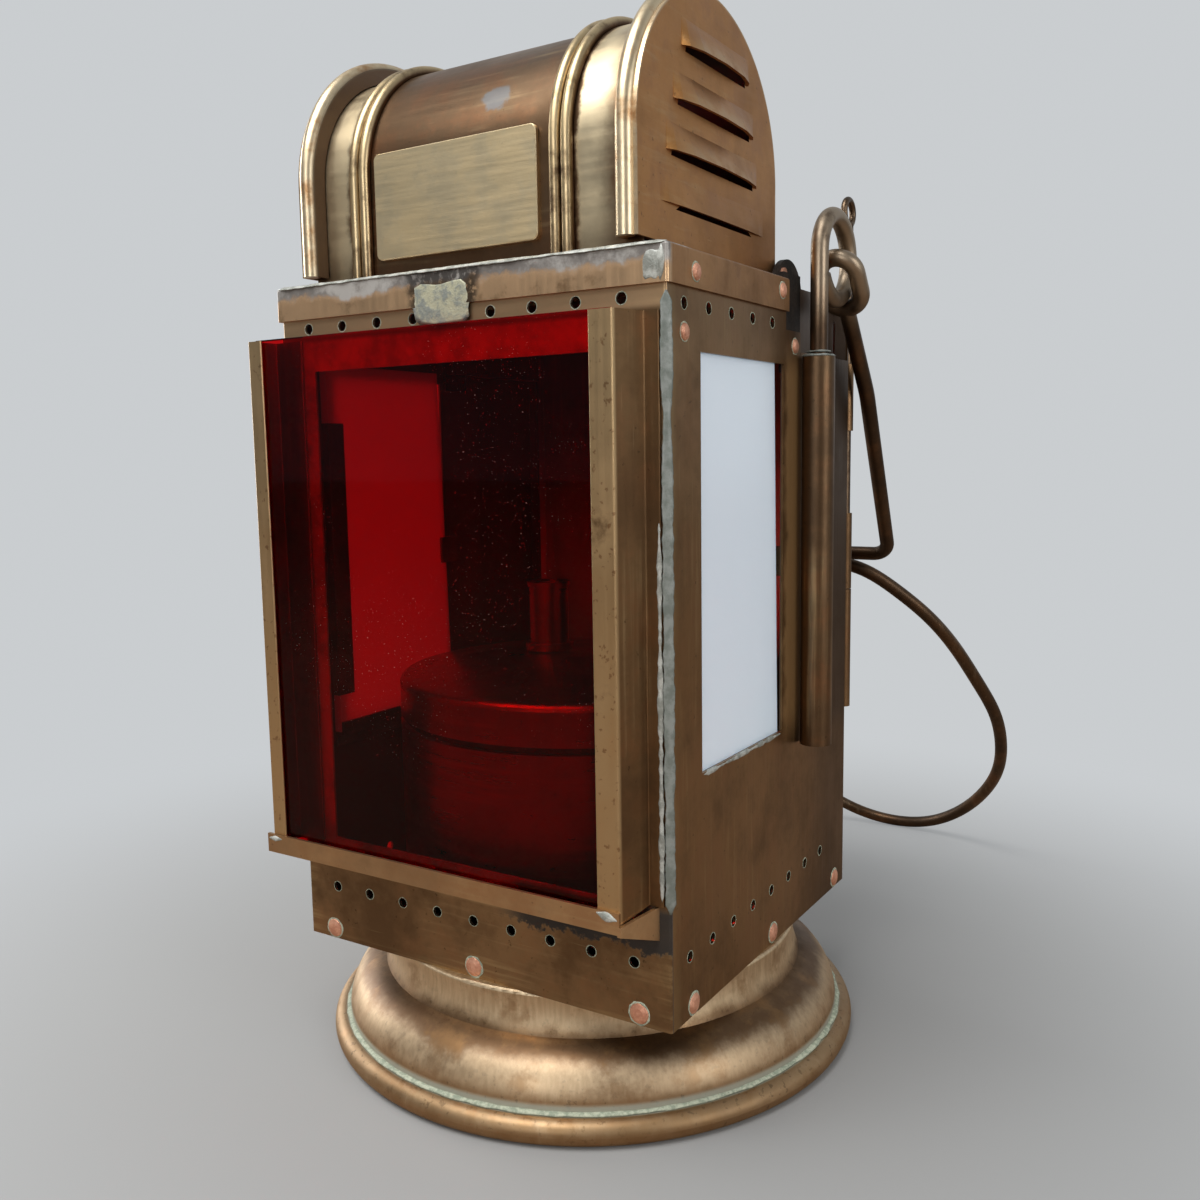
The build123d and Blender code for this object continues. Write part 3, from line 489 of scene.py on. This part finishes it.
def guideWear(tree, axes, noises, colour, rough):
    front = edge(tree, axes[1], guide["front"])
    for noise, mark in ((noises["mottle"], guide["rub"]), (noises["fine"], guide["pits"])):
        colour = tint(tree, colour, times(tree, front, ramp(tree, noise, *mark["range"])), mark)
    return colour, rough, 1.0


finishes = {
    "foot": agedBrass("spunFoot", footWear, base=(0.46, 0.315, 0.175), patina=(0.24, 0.145, 0.072),
                      patinaShare=0.40, redShare=0.40, wornShare=0.30, worn=(0.66, 0.52, 0.36),
                      brush=(900, 900, 90), brushDepth=0.08, rough=0.42, speckRange=(0.585, 0.665), seed=1.0),
    "panel": agedBrass("frontSheet", panelWear, base=(0.33, 0.215, 0.115), patinaShare=0.50, redShare=0.30,
                       wornShare=0.30, brush=(24, 600, 640), haze=0.0, seed=4.0),
    "side": agedBrass("sideSheet", sideWear, base=(0.315, 0.180, 0.074), patina=(0.130, 0.070, 0.029),
                      patinaShare=0.50, redShare=0.25, wornShare=0.18, brush=(600, 640, 26), brushDepth=0.14,
                      seed=9.0),
    "roof": agedBrass("roofSheet", roofWear, base=(0.190, 0.118, 0.065), patinaShare=0.45, redShare=0.50,
                      brush=(30, 520, 520), rough=0.32, seed=13.0),
    "cap": agedBrass("capSheet", capWear, base=(0.54, 0.255, 0.080), patina=(0.19, 0.088, 0.030),
                     patinaShare=0.34, redShare=0.45, wornShare=0.22, brush=(520, 60, 520), rough=0.34,
                     seed=17.0),
    "cover": agedBrass("coverSheet", coverWear, base=(0.48, 0.25, 0.10), patina=(0.16, 0.077, 0.027),
                       patinaShare=0.45, redShare=0.5, seed=21.0),
    "plate": agedBrass("plateBrass", plateWear, base=(0.98, 0.80, 0.50), patina=(0.62, 0.48, 0.26),
                       patinaShare=0.35, redShare=0.10, wornShare=0.5, brush=(60, 500, 900), brushDepth=0.2,
                       rough=0.38, dent=0.12, speck=0.15, seed=25.0),
    "guide": agedBrass("guideSheet", guideWear, base=(0.25, 0.150, 0.070), patinaShare=0.5,
                       brush=(640, 640, 18), rough=0.33, seed=29.0),
    "rail": agedBrass("railSheet", base=(0.60, 0.39, 0.21), patina=(0.27, 0.17, 0.09), patinaShare=0.45,
                      brush=(24, 600, 640), seed=31.0),
    "door": agedBrass("doorSheet", doorWear, base=(0.26, 0.160, 0.080), patinaShare=0.5, brush=(600, 640, 20),
                      seed=33.0),
    "wire": agedBrass("handleWire", wireWearAndHighlight, base=(0.115, 0.068, 0.036), patina=(0.055, 0.034, 0.021),
                      worn=(0.36, 0.28, 0.19), patinaShare=0.6, redShare=0.25, brush=(420, 420, 60), dent=0.2,
                      seed=37.0),
    "tube": agedBrass("handleTube", base=(0.175, 0.108, 0.056), patina=(0.080, 0.046, 0.025), patinaShare=0.5,
                      redShare=0.4, wornShare=0.3, brush=(700, 700, 20), rough=0.34, seed=41.0),
    "tank": agedBrass("tankSheet", base=(0.29, 0.195, 0.11), patina=(0.115, 0.074, 0.041), patinaShare=0.5,
                      brush=(30, 30, 500), rough=0.28, seed=45.0),
    "copper": plainFinish("rivetCopper", (0.80, 0.43, 0.29), (0.60, 0.28, 0.18), 0.75, 0.50, 420, 0.3),
    "iron": plainFinish("sootyIron", (0.010, 0.008, 0.007), (0.026, 0.018, 0.013), 0.3, 0.62, 220, 0.4),
    "steel": plainFinish("pinSteel", (0.16, 0.11, 0.07), (0.09, 0.06, 0.04), 1.0, 0.36, 240, 0.2),
    "rubber": plainFinish("gasketRubber", (0.02, 0.02, 0.02), (0.04, 0.035, 0.03), 0.0, 0.7),
    "ceramic": plainFinish("burnerCeramic", (0.60, 0.56, 0.48), (0.35, 0.30, 0.24), 0.0, 0.6),
    "solder": plainFinish("tinSolder", (0.50, 0.51, 0.47), (0.26, 0.27, 0.24), 0.40, 0.52, 380, 0.6),
    "seam": plainFinish("seamSolder", (0.27, 0.29, 0.27), (0.17, 0.19, 0.17), 0.35, 0.50, 300, 0.3),
    "patch": plainFinish("paleTin", (0.44, 0.43, 0.30), (0.24, 0.26, 0.23), 0.30, 0.52, 420, 0.7),
    "verdigris": plainFinish("paleVerdigris", (0.42, 0.44, 0.33), (0.24, 0.27, 0.20), 0.0, 0.8, 900, 0.5),
}
dressed = {
    "foot": ("foot", "foot_floor"),
    "panel": ("front_panel", "floor_plate"),
    "rail": ("bottom_rail",),
    "side": ("right_side_panel", "left_side_panel", "rear_hood", "back_frame"),
    "roof": ("roof_barrel",),
    "cap": ("right_roof_cap", "left_roof_cap"),
    "cover": ("top_cover",),
    "plate": ("number_plate",),
    "guide": ("right_glass_guide", "left_glass_guide", "pane_guides", "pane_ledges", "pane_clips"),
    "door": ("rear_door", "door_rivets", "door_catch", "frame_knuckle", "hinge_collar"),
    "wire": ("bail", "grip_loop", "right_eye_rod", "left_eye_rod"),
    "tube": ("right_handle_tube", "left_handle_tube"),
    "tank": ("generator_body", "generator_lid", "carbide_pot", "burner_collar", "burner_tube"),
    "copper": ("front_rivets", "side_rivets", "cover_rivets", "lug_rivets"),
    "iron": ("right_bracket", "left_bracket", "roof_lugs"),
    "steel": ("hinge_pin",),
    "rubber": ("lid_gasket",),
    "ceramic": ("burner_tip",),
}


def dress(material, names):
    for name in names:
        mesh = nodes[name].data
        mesh.materials.clear()
        mesh.materials.append(material)


for key, names in dressed.items():
    dress(finishes[key], names)
print("metal finishes done")

# red front glass with dust in patches and a faint ripple; each noise has scale, detail, roughness and shift
redGlass = {
    "colour": (0.64, 0.002, 0.004), "rough": 0.03, "bend": 1.20,
    "dust": (0.80, 0.42, 0.38), "dustShare": 0.60, "dustRough": 0.5, "dustRange": (0.700, 0.740),
    "patchRange": (0.38, 0.60), "rippleDepth": 0.06, "rippleReach": 2.0,
    "specks": ((2300, 2300, 2300), 2.0, 0.5, 2.0), "patches": ((30, 30, 22), 3.0, 0.5, 6.0),
    "ripple": ((22, 22, 9), 1.0, 0.4, 9.0),
}


def redGlassFinish():
    material, tree, shader = emptyMaterial("redGlass")
    place = objectPlace(tree)
    specks, patches, ripple = (stretchedNoise(tree, place, *redGlass[key])
                               for key in ("specks", "patches", "ripple"))
    dust = times(tree, ramp(tree, specks, *redGlass["dustRange"]), ramp(tree, patches, *redGlass["patchRange"]))
    dust = times(tree, dust, redGlass["dustShare"], clamp=True)
    colour = blendColours(tree, dust, redGlass["colour"], redGlass["dust"])
    plug(tree, shader.inputs["Base Color"], colour)
    rough = plus(tree, redGlass["rough"], times(tree, dust, redGlass["dustRough"]))
    plug(tree, shader.inputs["Roughness"], rough)
    plug(tree, shader.inputs["Transmission Weight"], minus(tree, 1.0, dust))
    shader.inputs["IOR"].default_value = redGlass["bend"]
    relief = bump(tree, ripple, redGlass["rippleDepth"], redGlass["rippleReach"])
    plug(tree, shader.inputs["Normal"], relief)
    return material


# white opal panes let a soft light through, and glow faintly with a painted emission
opalPane = {
    "colour": (0.88, 0.95, 1.0), "cloudy": (0.80, 0.87, 0.93), "cloudShare": 0.35, "rough": 0.18, "bend": 1.5,
    "through": 0.55, "reach": 10.0, "glow": (0.02, 0.07, 0.12), "noise": ((18, 18, 18), 2.0, 0.5),
}


def opalFinish():
    material, tree, shader = emptyMaterial("opalGlass")
    cloud = stretchedNoise(tree, objectPlace(tree), *opalPane["noise"])
    cloudy = times(tree, cloud, opalPane["cloudShare"])
    plug(tree, shader.inputs["Base Color"], blendColours(tree, cloudy, opalPane["colour"], opalPane["cloudy"]))
    shader.inputs["Roughness"].default_value = opalPane["rough"]
    shader.inputs["Subsurface Weight"].default_value = opalPane["through"]
    shader.inputs["Subsurface Radius"].default_value = (opalPane["reach"] * mm,) * 3
    shader.inputs["Subsurface Scale"].default_value = 1.0
    shader.inputs["IOR"].default_value = opalPane["bend"]
    # painted light: a faint emission makes the panes glow though they are no lamp
    shader.inputs["Emission Color"].default_value = (*opalPane["glow"], 1.0)
    shader.inputs["Emission Strength"].default_value = 1.0
    return material


dress(redGlassFinish(), ("red_glass",))
dress(opalFinish(), ("right_white_pane", "left_white_pane"))
print("glass done")


# one piece on the lamp's body from several shapes, each a list of points in metres and a list of faces
def joined(name, shapes, material):
    points, faces = [], []
    for shapePoints, shapeFaces in shapes:
        start = len(points)
        points += [tuple(p) for p in shapePoints]
        faces += [tuple(start + i for i in face) for face in shapeFaces]
    mesh = bpy.data.meshes.new(name)
    mesh.from_pydata(points, [], faces)
    mesh.polygons.foreach_set("use_smooth", [True] * len(faces))
    mesh.materials.append(material)
    piece = bpy.data.objects.new(name, mesh)
    bpy.context.scene.collection.objects.link(piece)
    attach(piece, "lamp_body")


# raised uneven ring round a rivet, a hole or a rod
ring = {"flat": 0.45, "shift": 0.25}


def ringShape(centre, normal, radius, wide, ragged, rng, around=20, through=6):
    centre, normal = Vector(centre) * mm, Vector(normal).normalized()
    across = normal.orthogonal().normalized()
    up = normal.cross(across)
    points, faces = [], []
    for i in range(around):
        turn = 2 * math.pi * i / around
        outward = across * math.cos(turn) + up * math.sin(turn)
        thick = wide * mm * (1 + ragged * rng.uniform(-1, 1))
        reach = radius * mm * (1 + ring["shift"] * ragged * rng.uniform(-1, 1) * wide / radius)
        for j in range(through):
            roll = 2 * math.pi * j / through
            lift = normal * (ring["flat"] * thick * math.sin(roll))
            points.append(centre + outward * (reach + thick * math.cos(roll)) + lift)
    for i in range(around):
        for j in range(through):
            a, b = i * through + j, i * through + (j + 1) % through
            c, d = ((i + 1) % around) * through + j, ((i + 1) % around) * through + (j + 1) % through
            faces.append((a, c, d, b))
    return points, faces


# where rivets and vents sit: first place, step and count of each row of vents, and its height
rivetRings = {
    "frontX": (-49.3, 0.2, 49.7), "sideY": (-46.4, 0.8, 48.0), "lowZ": 33.9, "bigRadius": 2.72, "bigWire": 0.30,
    "cover": ((-45.2, 205.1), (3.5, 206.5)), "coverOut": 0.9, "panelHigh": ((-49.3, 191.8), (14.1, 193.1)),
    "smallRadius": 2.1, "smallWire": 0.21, "ragged": 0.45, "seed": 11,
}
ventRings = {
    "front": ((-47.54, 12.0, 9, 46.4), (-48.78, 12.0, 9, 199.1)),
    "sides": ((-48.3, 12.0, 8, 46.4), (-49.4, 12.1, 5, 198.0)), "radius": 1.45, "wire": 0.11,
}


def corrosionRings():
    rng = random.Random(rivetRings["seed"])
    ragged = rivetRings["ragged"]
    big, small = ((rivetRings[key + "Radius"], rivetRings[key + "Wire"]) for key in ("big", "small"))
    vent = (ventRings["radius"], ventRings["wire"])

    def onFront(x, z, sizes):
        return ringShape((x, panel["front"], z), (0, -1, 0), *sizes, ragged, rng)

    def onSide(way, y, z, sizes, out=0.0):
        return ringShape((way * (panel["half"] + out), y, z), (way, 0, 0), *sizes, ragged, rng)

    rings = [onFront(x, rivetRings["lowZ"], big) for x in rivetRings["frontX"]]
    for way in (-1, 1):
        rings += [onSide(way, y, rivetRings["lowZ"], big) for y in rivetRings["sideY"]]
        rings += [onSide(way, y, z, small, rivetRings["coverOut"]) for y, z in rivetRings["cover"]]
        rings += [onSide(way, y, z, small) for y, z in rivetRings["panelHigh"]]
    joined("rivet_corrosion", rings, finishes["verdigris"])
    rings = []
    for first, step, count, z in ventRings["front"]:
        rings += [onFront(first + i * step, z, vent) for i in range(count)]
    for first, step, count, z in ventRings["sides"]:
        for way in (-1, 1):
            rings += [onSide(way, first + i * step, z, vent) for i in range(count)]
    joined("vent_corrosion", rings, finishes["verdigris"])


corrosionRings()


# a run of solder: a half-round bead that follows points and varies in width
soldered = {"step": 0.8, "around": 7, "sink": 0.05, "return": 0.25, "wideDraw": 0.5, "tallDraw": 0.4,
            "least": 0.3, "tip": 0.15, "taper": 0.3}


def solderRun(points, width, height, normal, rng, wobble=0.35):
    corners = [Vector(p) * mm for p in points]
    normal = Vector(normal).normalized()
    path = []
    for a, b in zip(corners, corners[1:]):
        count = max(2, int((b - a).length / (soldered["step"] * mm)))
        path += [a.lerp(b, i / count) for i in range(count)]
    path.append(corners[-1])
    around, last = soldered["around"], len(path) - 1
    verts, faces = [], []
    wide, tall = 1.0, 1.0
    for i, spot in enumerate(path):
        ahead = path[min(i + 1, last)] - path[max(i - 1, 0)]
        across = ahead.normalized().cross(normal)
        wide += (1 - wide) * soldered["return"] + rng.uniform(-1, 1) * wobble * soldered["wideDraw"]
        tall += (1 - tall) * soldered["return"] + rng.uniform(-1, 1) * wobble * soldered["tallDraw"]
        ends = min(1.0, soldered["tip"] + soldered["taper"] * min(i, last - i))
        for j in range(around):
            turn = math.pi * j / (around - 1)
            out = across * math.cos(turn) * width * mm * max(soldered["least"], wide) * ends
            lift = normal * math.sin(turn) * height * mm * max(soldered["least"], tall) * ends
            verts.append(spot + out + lift - normal * soldered["sink"] * mm)
    for i in range(last):
        for j in range(around):
            a, b = i * around + j, i * around + (j + 1) % around
            faces.append((a, b, b + around, a + around))
    faces.append(tuple(range(around))[::-1])
    faces.append(tuple(last * around + j for j in range(around)))
    return verts, faces


# an uneven flat puddle of solder on the cover's front
puddle = {"rings": 6, "around": 28, "uneven": 0.18, "bumpy": 0.35, "corners": -0.85, "sink": 0.04}


def solderPatch(centre, half, height, rng):
    centre, across, up, normal = Vector(centre) * mm, Vector((1, 0, 0)), Vector((0, 0, 1)), Vector((0, -1, 0))
    rings, around = puddle["rings"], puddle["around"]
    shape = [1 + puddle["uneven"] * rng.uniform(-1, 1) for _ in range(around)]
    shape = [(shape[i - 1] + 2 * shape[i] + shape[(i + 1) % around]) / 4 for i in range(around)]
    verts, faces = [centre + normal * height * mm], []
    for k in range(1, rings + 1):
        share = k / rings
        for i in range(around):
            turn = 2 * math.pi * i / around
            squared = max(abs(math.cos(turn)), abs(math.sin(turn))) ** puddle["corners"]
            spread = across * math.cos(turn) * half[0] + up * math.sin(turn) * half[1]
            bumpy = 1 + puddle["bumpy"] * rng.uniform(-1, 1) * (1 - share)
            lift = normal * height * (1 - share ** 3) * bumpy
            verts.append(centre + (spread * shape[i] * squared * share + lift - normal * puddle["sink"]) * mm)
    for i in range(around):
        faces.append((0, 1 + i, 1 + (i + 1) % around))
    for k in range(rings - 1):
        for i in range(around):
            a, b = 1 + k * around + i, 1 + k * around + (i + 1) % around
            faces.append((a, a + around, b + around, b))
    faces.append(tuple(1 + (rings - 1) * around + i for i in range(around))[::-1])
    return verts, faces


# a run and the seam: both ends, half width, height, outward direction and unevenness
# the patch and the blob: centre, half width and half height, thickness
solder = {
    "runs": (
        (((-59, -58.1, 210.1), (59, -58.1, 210.1)), 0.8, 0.35, (0, -0.6, 1), 0.35),  # front edge of the cover
        (((57.5, -58.4, 202.0), (57.8, -58.4, 209.5)), 1.0, 0.5, (0, -1, 0), 0.35),  # corner of the cover
        (((56.6, -58.2, 63.0), (56.6, -58.2, 150.0)), 0.6, 0.35, (0.3, -1, 0), 0.6),  # behind the right guide
        (((44.5, -67.5, 61.5), (50.0, -67.5, 60.5)), 1.3, 0.6, (0, -1, 0.2), 0.35),  # rail at the right guide
        (((-63.0, -67.5, 61.0), (-58.0, -67.5, 61.2)), 1.0, 0.5, (0, -1, 0.2), 0.35),  # rail at the left guide
        (((58.5, -41.0, 89.0), (58.5, 5.5, 89.0)), 0.5, 0.3, (1, 0, 0.2), 0.8),  # sill of the right window
    ),
    "patch": ((-3.0, -58.4, 202.5), (8.8, 5.1), 0.16),
    "blob": ((55.8, -58.4, 205.5), (2.6, 3.2), 0.2),
    "seam": (((58.35, -57.35, 60.0), (58.35, -57.35, 200.0)), 1.25, 0.28, (1, -1, 0)), "seamUneven": 0.25,
    "groove": {"z": 6.9, "radius": 72.3, "wide": 1.05, "ragged": 0.25, "around": 160, "through": 8},
    "collars": ((3.3, 1.0, 190.7), (2.7, 0.6, 191.8)), "collarRagged": 0.3,  # radius, width and height
    "seed": 5,
}
handle = {"x": 63.2, "tubeY": 19.4}


def solderWork():
    rng = random.Random(solder["seed"])
    runs = [solderRun(*run[:4], rng, run[4]) for run in solder["runs"]]
    joined("tin_patch", [solderPatch(*solder["patch"], rng)], finishes["patch"])
    joined("corner_seam", [solderRun(*solder["seam"], rng, solder["seamUneven"])], finishes["seam"])
    runs.append(solderPatch(*solder["blob"], rng))
    joined("solder_work", runs, finishes["solder"])
    groove = solder["groove"]
    grooveRing = ringShape((0, 0, groove["z"]), (0, 0, 1), groove["radius"], groove["wide"], groove["ragged"],
                           rng, groove["around"], groove["through"])
    joined("foot_solder_ring", [grooveRing], finishes["verdigris"])
    collars = []
    for way in (-1, 1):
        for radius, wide, z in solder["collars"]:
            centre = (way * handle["x"], handle["tubeY"], z)
            collars.append(ringShape(centre, (0, 0, 1), radius, wide, solder["collarRagged"], rng))
    joined("tube_solder", collars, finishes["seam"])


solderWork()
print("solder and corrosion done")

# camera as the photograph was taken: place in metres, turn in degrees, lens for a 36 mm sensor
camera = {"place": (0.1780, -0.2769, 0.1650), "yaw": 32.07, "pitch": 7.26, "roll": -0.898, "lens": 34.071,
          "sensor": 36.0, "nearest": 0.01}


def addCamera():
    yaw, pitch, roll = (math.radians(camera[key]) for key in ("yaw", "pitch", "roll"))
    forward = Vector((-math.sin(yaw) * math.cos(pitch), math.cos(yaw) * math.cos(pitch), -math.sin(pitch)))
    right = Vector((math.cos(yaw), math.sin(yaw), 0))
    up = right.cross(forward)
    rolledRight = right * math.cos(roll) + up * math.sin(roll)
    rolledUp = up * math.cos(roll) - right * math.sin(roll)
    turn = Matrix((rolledRight, rolledUp, -forward)).transposed()
    data = bpy.data.cameras.new("photoCamera")
    data.sensor_width = camera["sensor"]
    data.lens = camera["lens"]
    data.clip_start = camera["nearest"]
    made = bpy.data.objects.new("photoCamera", data)
    made.matrix_world = Matrix.Translation(camera["place"]) @ turn.to_4x4()
    bpy.context.scene.collection.objects.link(made)
    bpy.context.scene.camera = made


# places and sizes in metres; each lamp has its place, size and power
studio = {
    "backdrop": (0.590, 0.612, 0.630), "fadeNear": 0.09, "fadeFar": 0.36,
    "floor": (0.29, 0.287, 0.281), "floorShade": 0.8, "floorCloud": 0.10, "floorRough": 0.8,
    "floorNoise": ((9, 9, 9), 3.0, 0.5),
    "mirroredFloor": (0.23, 0.165, 0.115), "reach": 6.0, "drop": 0.0002,
    "diffuseLevel": 0.90, "mirrorFront": 0.34, "mirrorBack": 0.75, "mirrorRange": (-0.1, 0.6),
    "target": (0, 0, 0.13),
    "lamps": {
        "top": ((-0.15, -0.55, 1.15), (0.8, 0.7), 13.0),
        "front": ((0.20, -1.30, 0.50), (0.5, 0.5), 3.0),
        "right": ((1.10, -0.20, 0.45), (0.5, 0.7), 3.5),
        "left": ((-1.0, 0.05, 0.35), (0.5, 0.6), 5.5),
    },
}


def areaLight(name, place, extent, power):
    data = bpy.data.lights.new(name, "AREA")
    data.shape = "RECTANGLE"
    data.size, data.size_y = extent
    data.energy = power
    made = bpy.data.objects.new(name, data)
    made.location = place
    made.rotation_euler = (Vector(studio["target"]) - Vector(place)).to_track_quat("-Z", "Y").to_euler()
    bpy.context.scene.collection.objects.link(made)


# the floor looks pale, is warmer where metal mirrors it, and fades into the backdrop far off
def floorMaterial():
    material, tree, shader = emptyMaterial("paleFloor")
    place = objectPlace(tree)
    x, y, z = addNode(tree, "ShaderNodeSeparateXYZ", {"Vector": place}).outputs
    seen = tree.nodes.new("ShaderNodeLightPath").outputs["Is Camera Ray"]
    shader.inputs["Roughness"].default_value = studio["floorRough"]
    grain = times(tree, stretchedNoise(tree, place, *studio["floorNoise"]), studio["floorCloud"])
    shade = [v * studio["floorShade"] for v in studio["floor"]]
    pale = blendColours(tree, grain, studio["floor"], shade)
    plug(tree, shader.inputs["Base Color"], blendColours(tree, seen, studio["mirroredFloor"], pale))
    faded = times(tree, ramp(tree, radiusOf(tree, x, y), studio["fadeNear"], studio["fadeFar"]), seen)
    glow = addNode(tree, "ShaderNodeEmission", {"Color": (*studio["backdrop"], 1), "Strength": 1.0})
    mixed = addNode(tree, "ShaderNodeMixShader", {0: faded, 1: shader.outputs[0], 2: glow.outputs[0]})
    output = next(node for node in tree.nodes if node.type == "OUTPUT_MATERIAL")
    tree.links.new(mixed.outputs[0], output.inputs[0])
    return material


# the backdrop is plain to the camera, darker in front of the lamp where metal mirrors it
def addWorld():
    world = bpy.data.worlds.new("studio")
    bpy.context.scene.world = world
    world.use_nodes = True
    tree = world.node_tree
    tree.nodes.clear()
    rays = tree.nodes.new("ShaderNodeLightPath").outputs
    toward = tree.nodes.new("ShaderNodeTexCoord").outputs["Generated"]
    backward = addNode(tree, "ShaderNodeSeparateXYZ", {"Vector": toward}).outputs[1]
    more = studio["mirrorBack"] - studio["mirrorFront"]
    mirror = times(tree, ramp(tree, backward, *studio["mirrorRange"]), more)
    mirror = plus(tree, mirror, studio["mirrorFront"])
    level = plus(tree, times(tree, rays["Is Diffuse Ray"], studio["diffuseLevel"]),
                 times(tree, rays["Is Glossy Ray"], mirror))
    level = larger(tree, level, larger(tree, rays["Is Camera Ray"], rays["Is Transmission Ray"]))
    back = addNode(tree, "ShaderNodeBackground", {"Color": (*studio["backdrop"], 1), "Strength": level})
    output = tree.nodes.new("ShaderNodeOutputWorld")
    tree.links.new(back.outputs[0], output.inputs[0])


def addFloor():
    mesh = bpy.data.meshes.new("floor")
    reach = studio["reach"]
    corners = [(-reach, -reach, 0), (reach, -reach, 0), (reach, reach, 0), (-reach, reach, 0)]
    mesh.from_pydata(corners, [], [(0, 1, 2, 3)])
    mesh.materials.append(floorMaterial())
    floor = bpy.data.objects.new("floor", mesh)
    floor.location.z = -studio["drop"]
    bpy.context.scene.collection.objects.link(floor)


addCamera()
addWorld()
for name, (place, extent, power) in studio["lamps"].items():
    areaLight(name, place, extent, power)
addFloor()
bpy.context.scene.view_settings.view_transform = "Standard"
print("studio done")
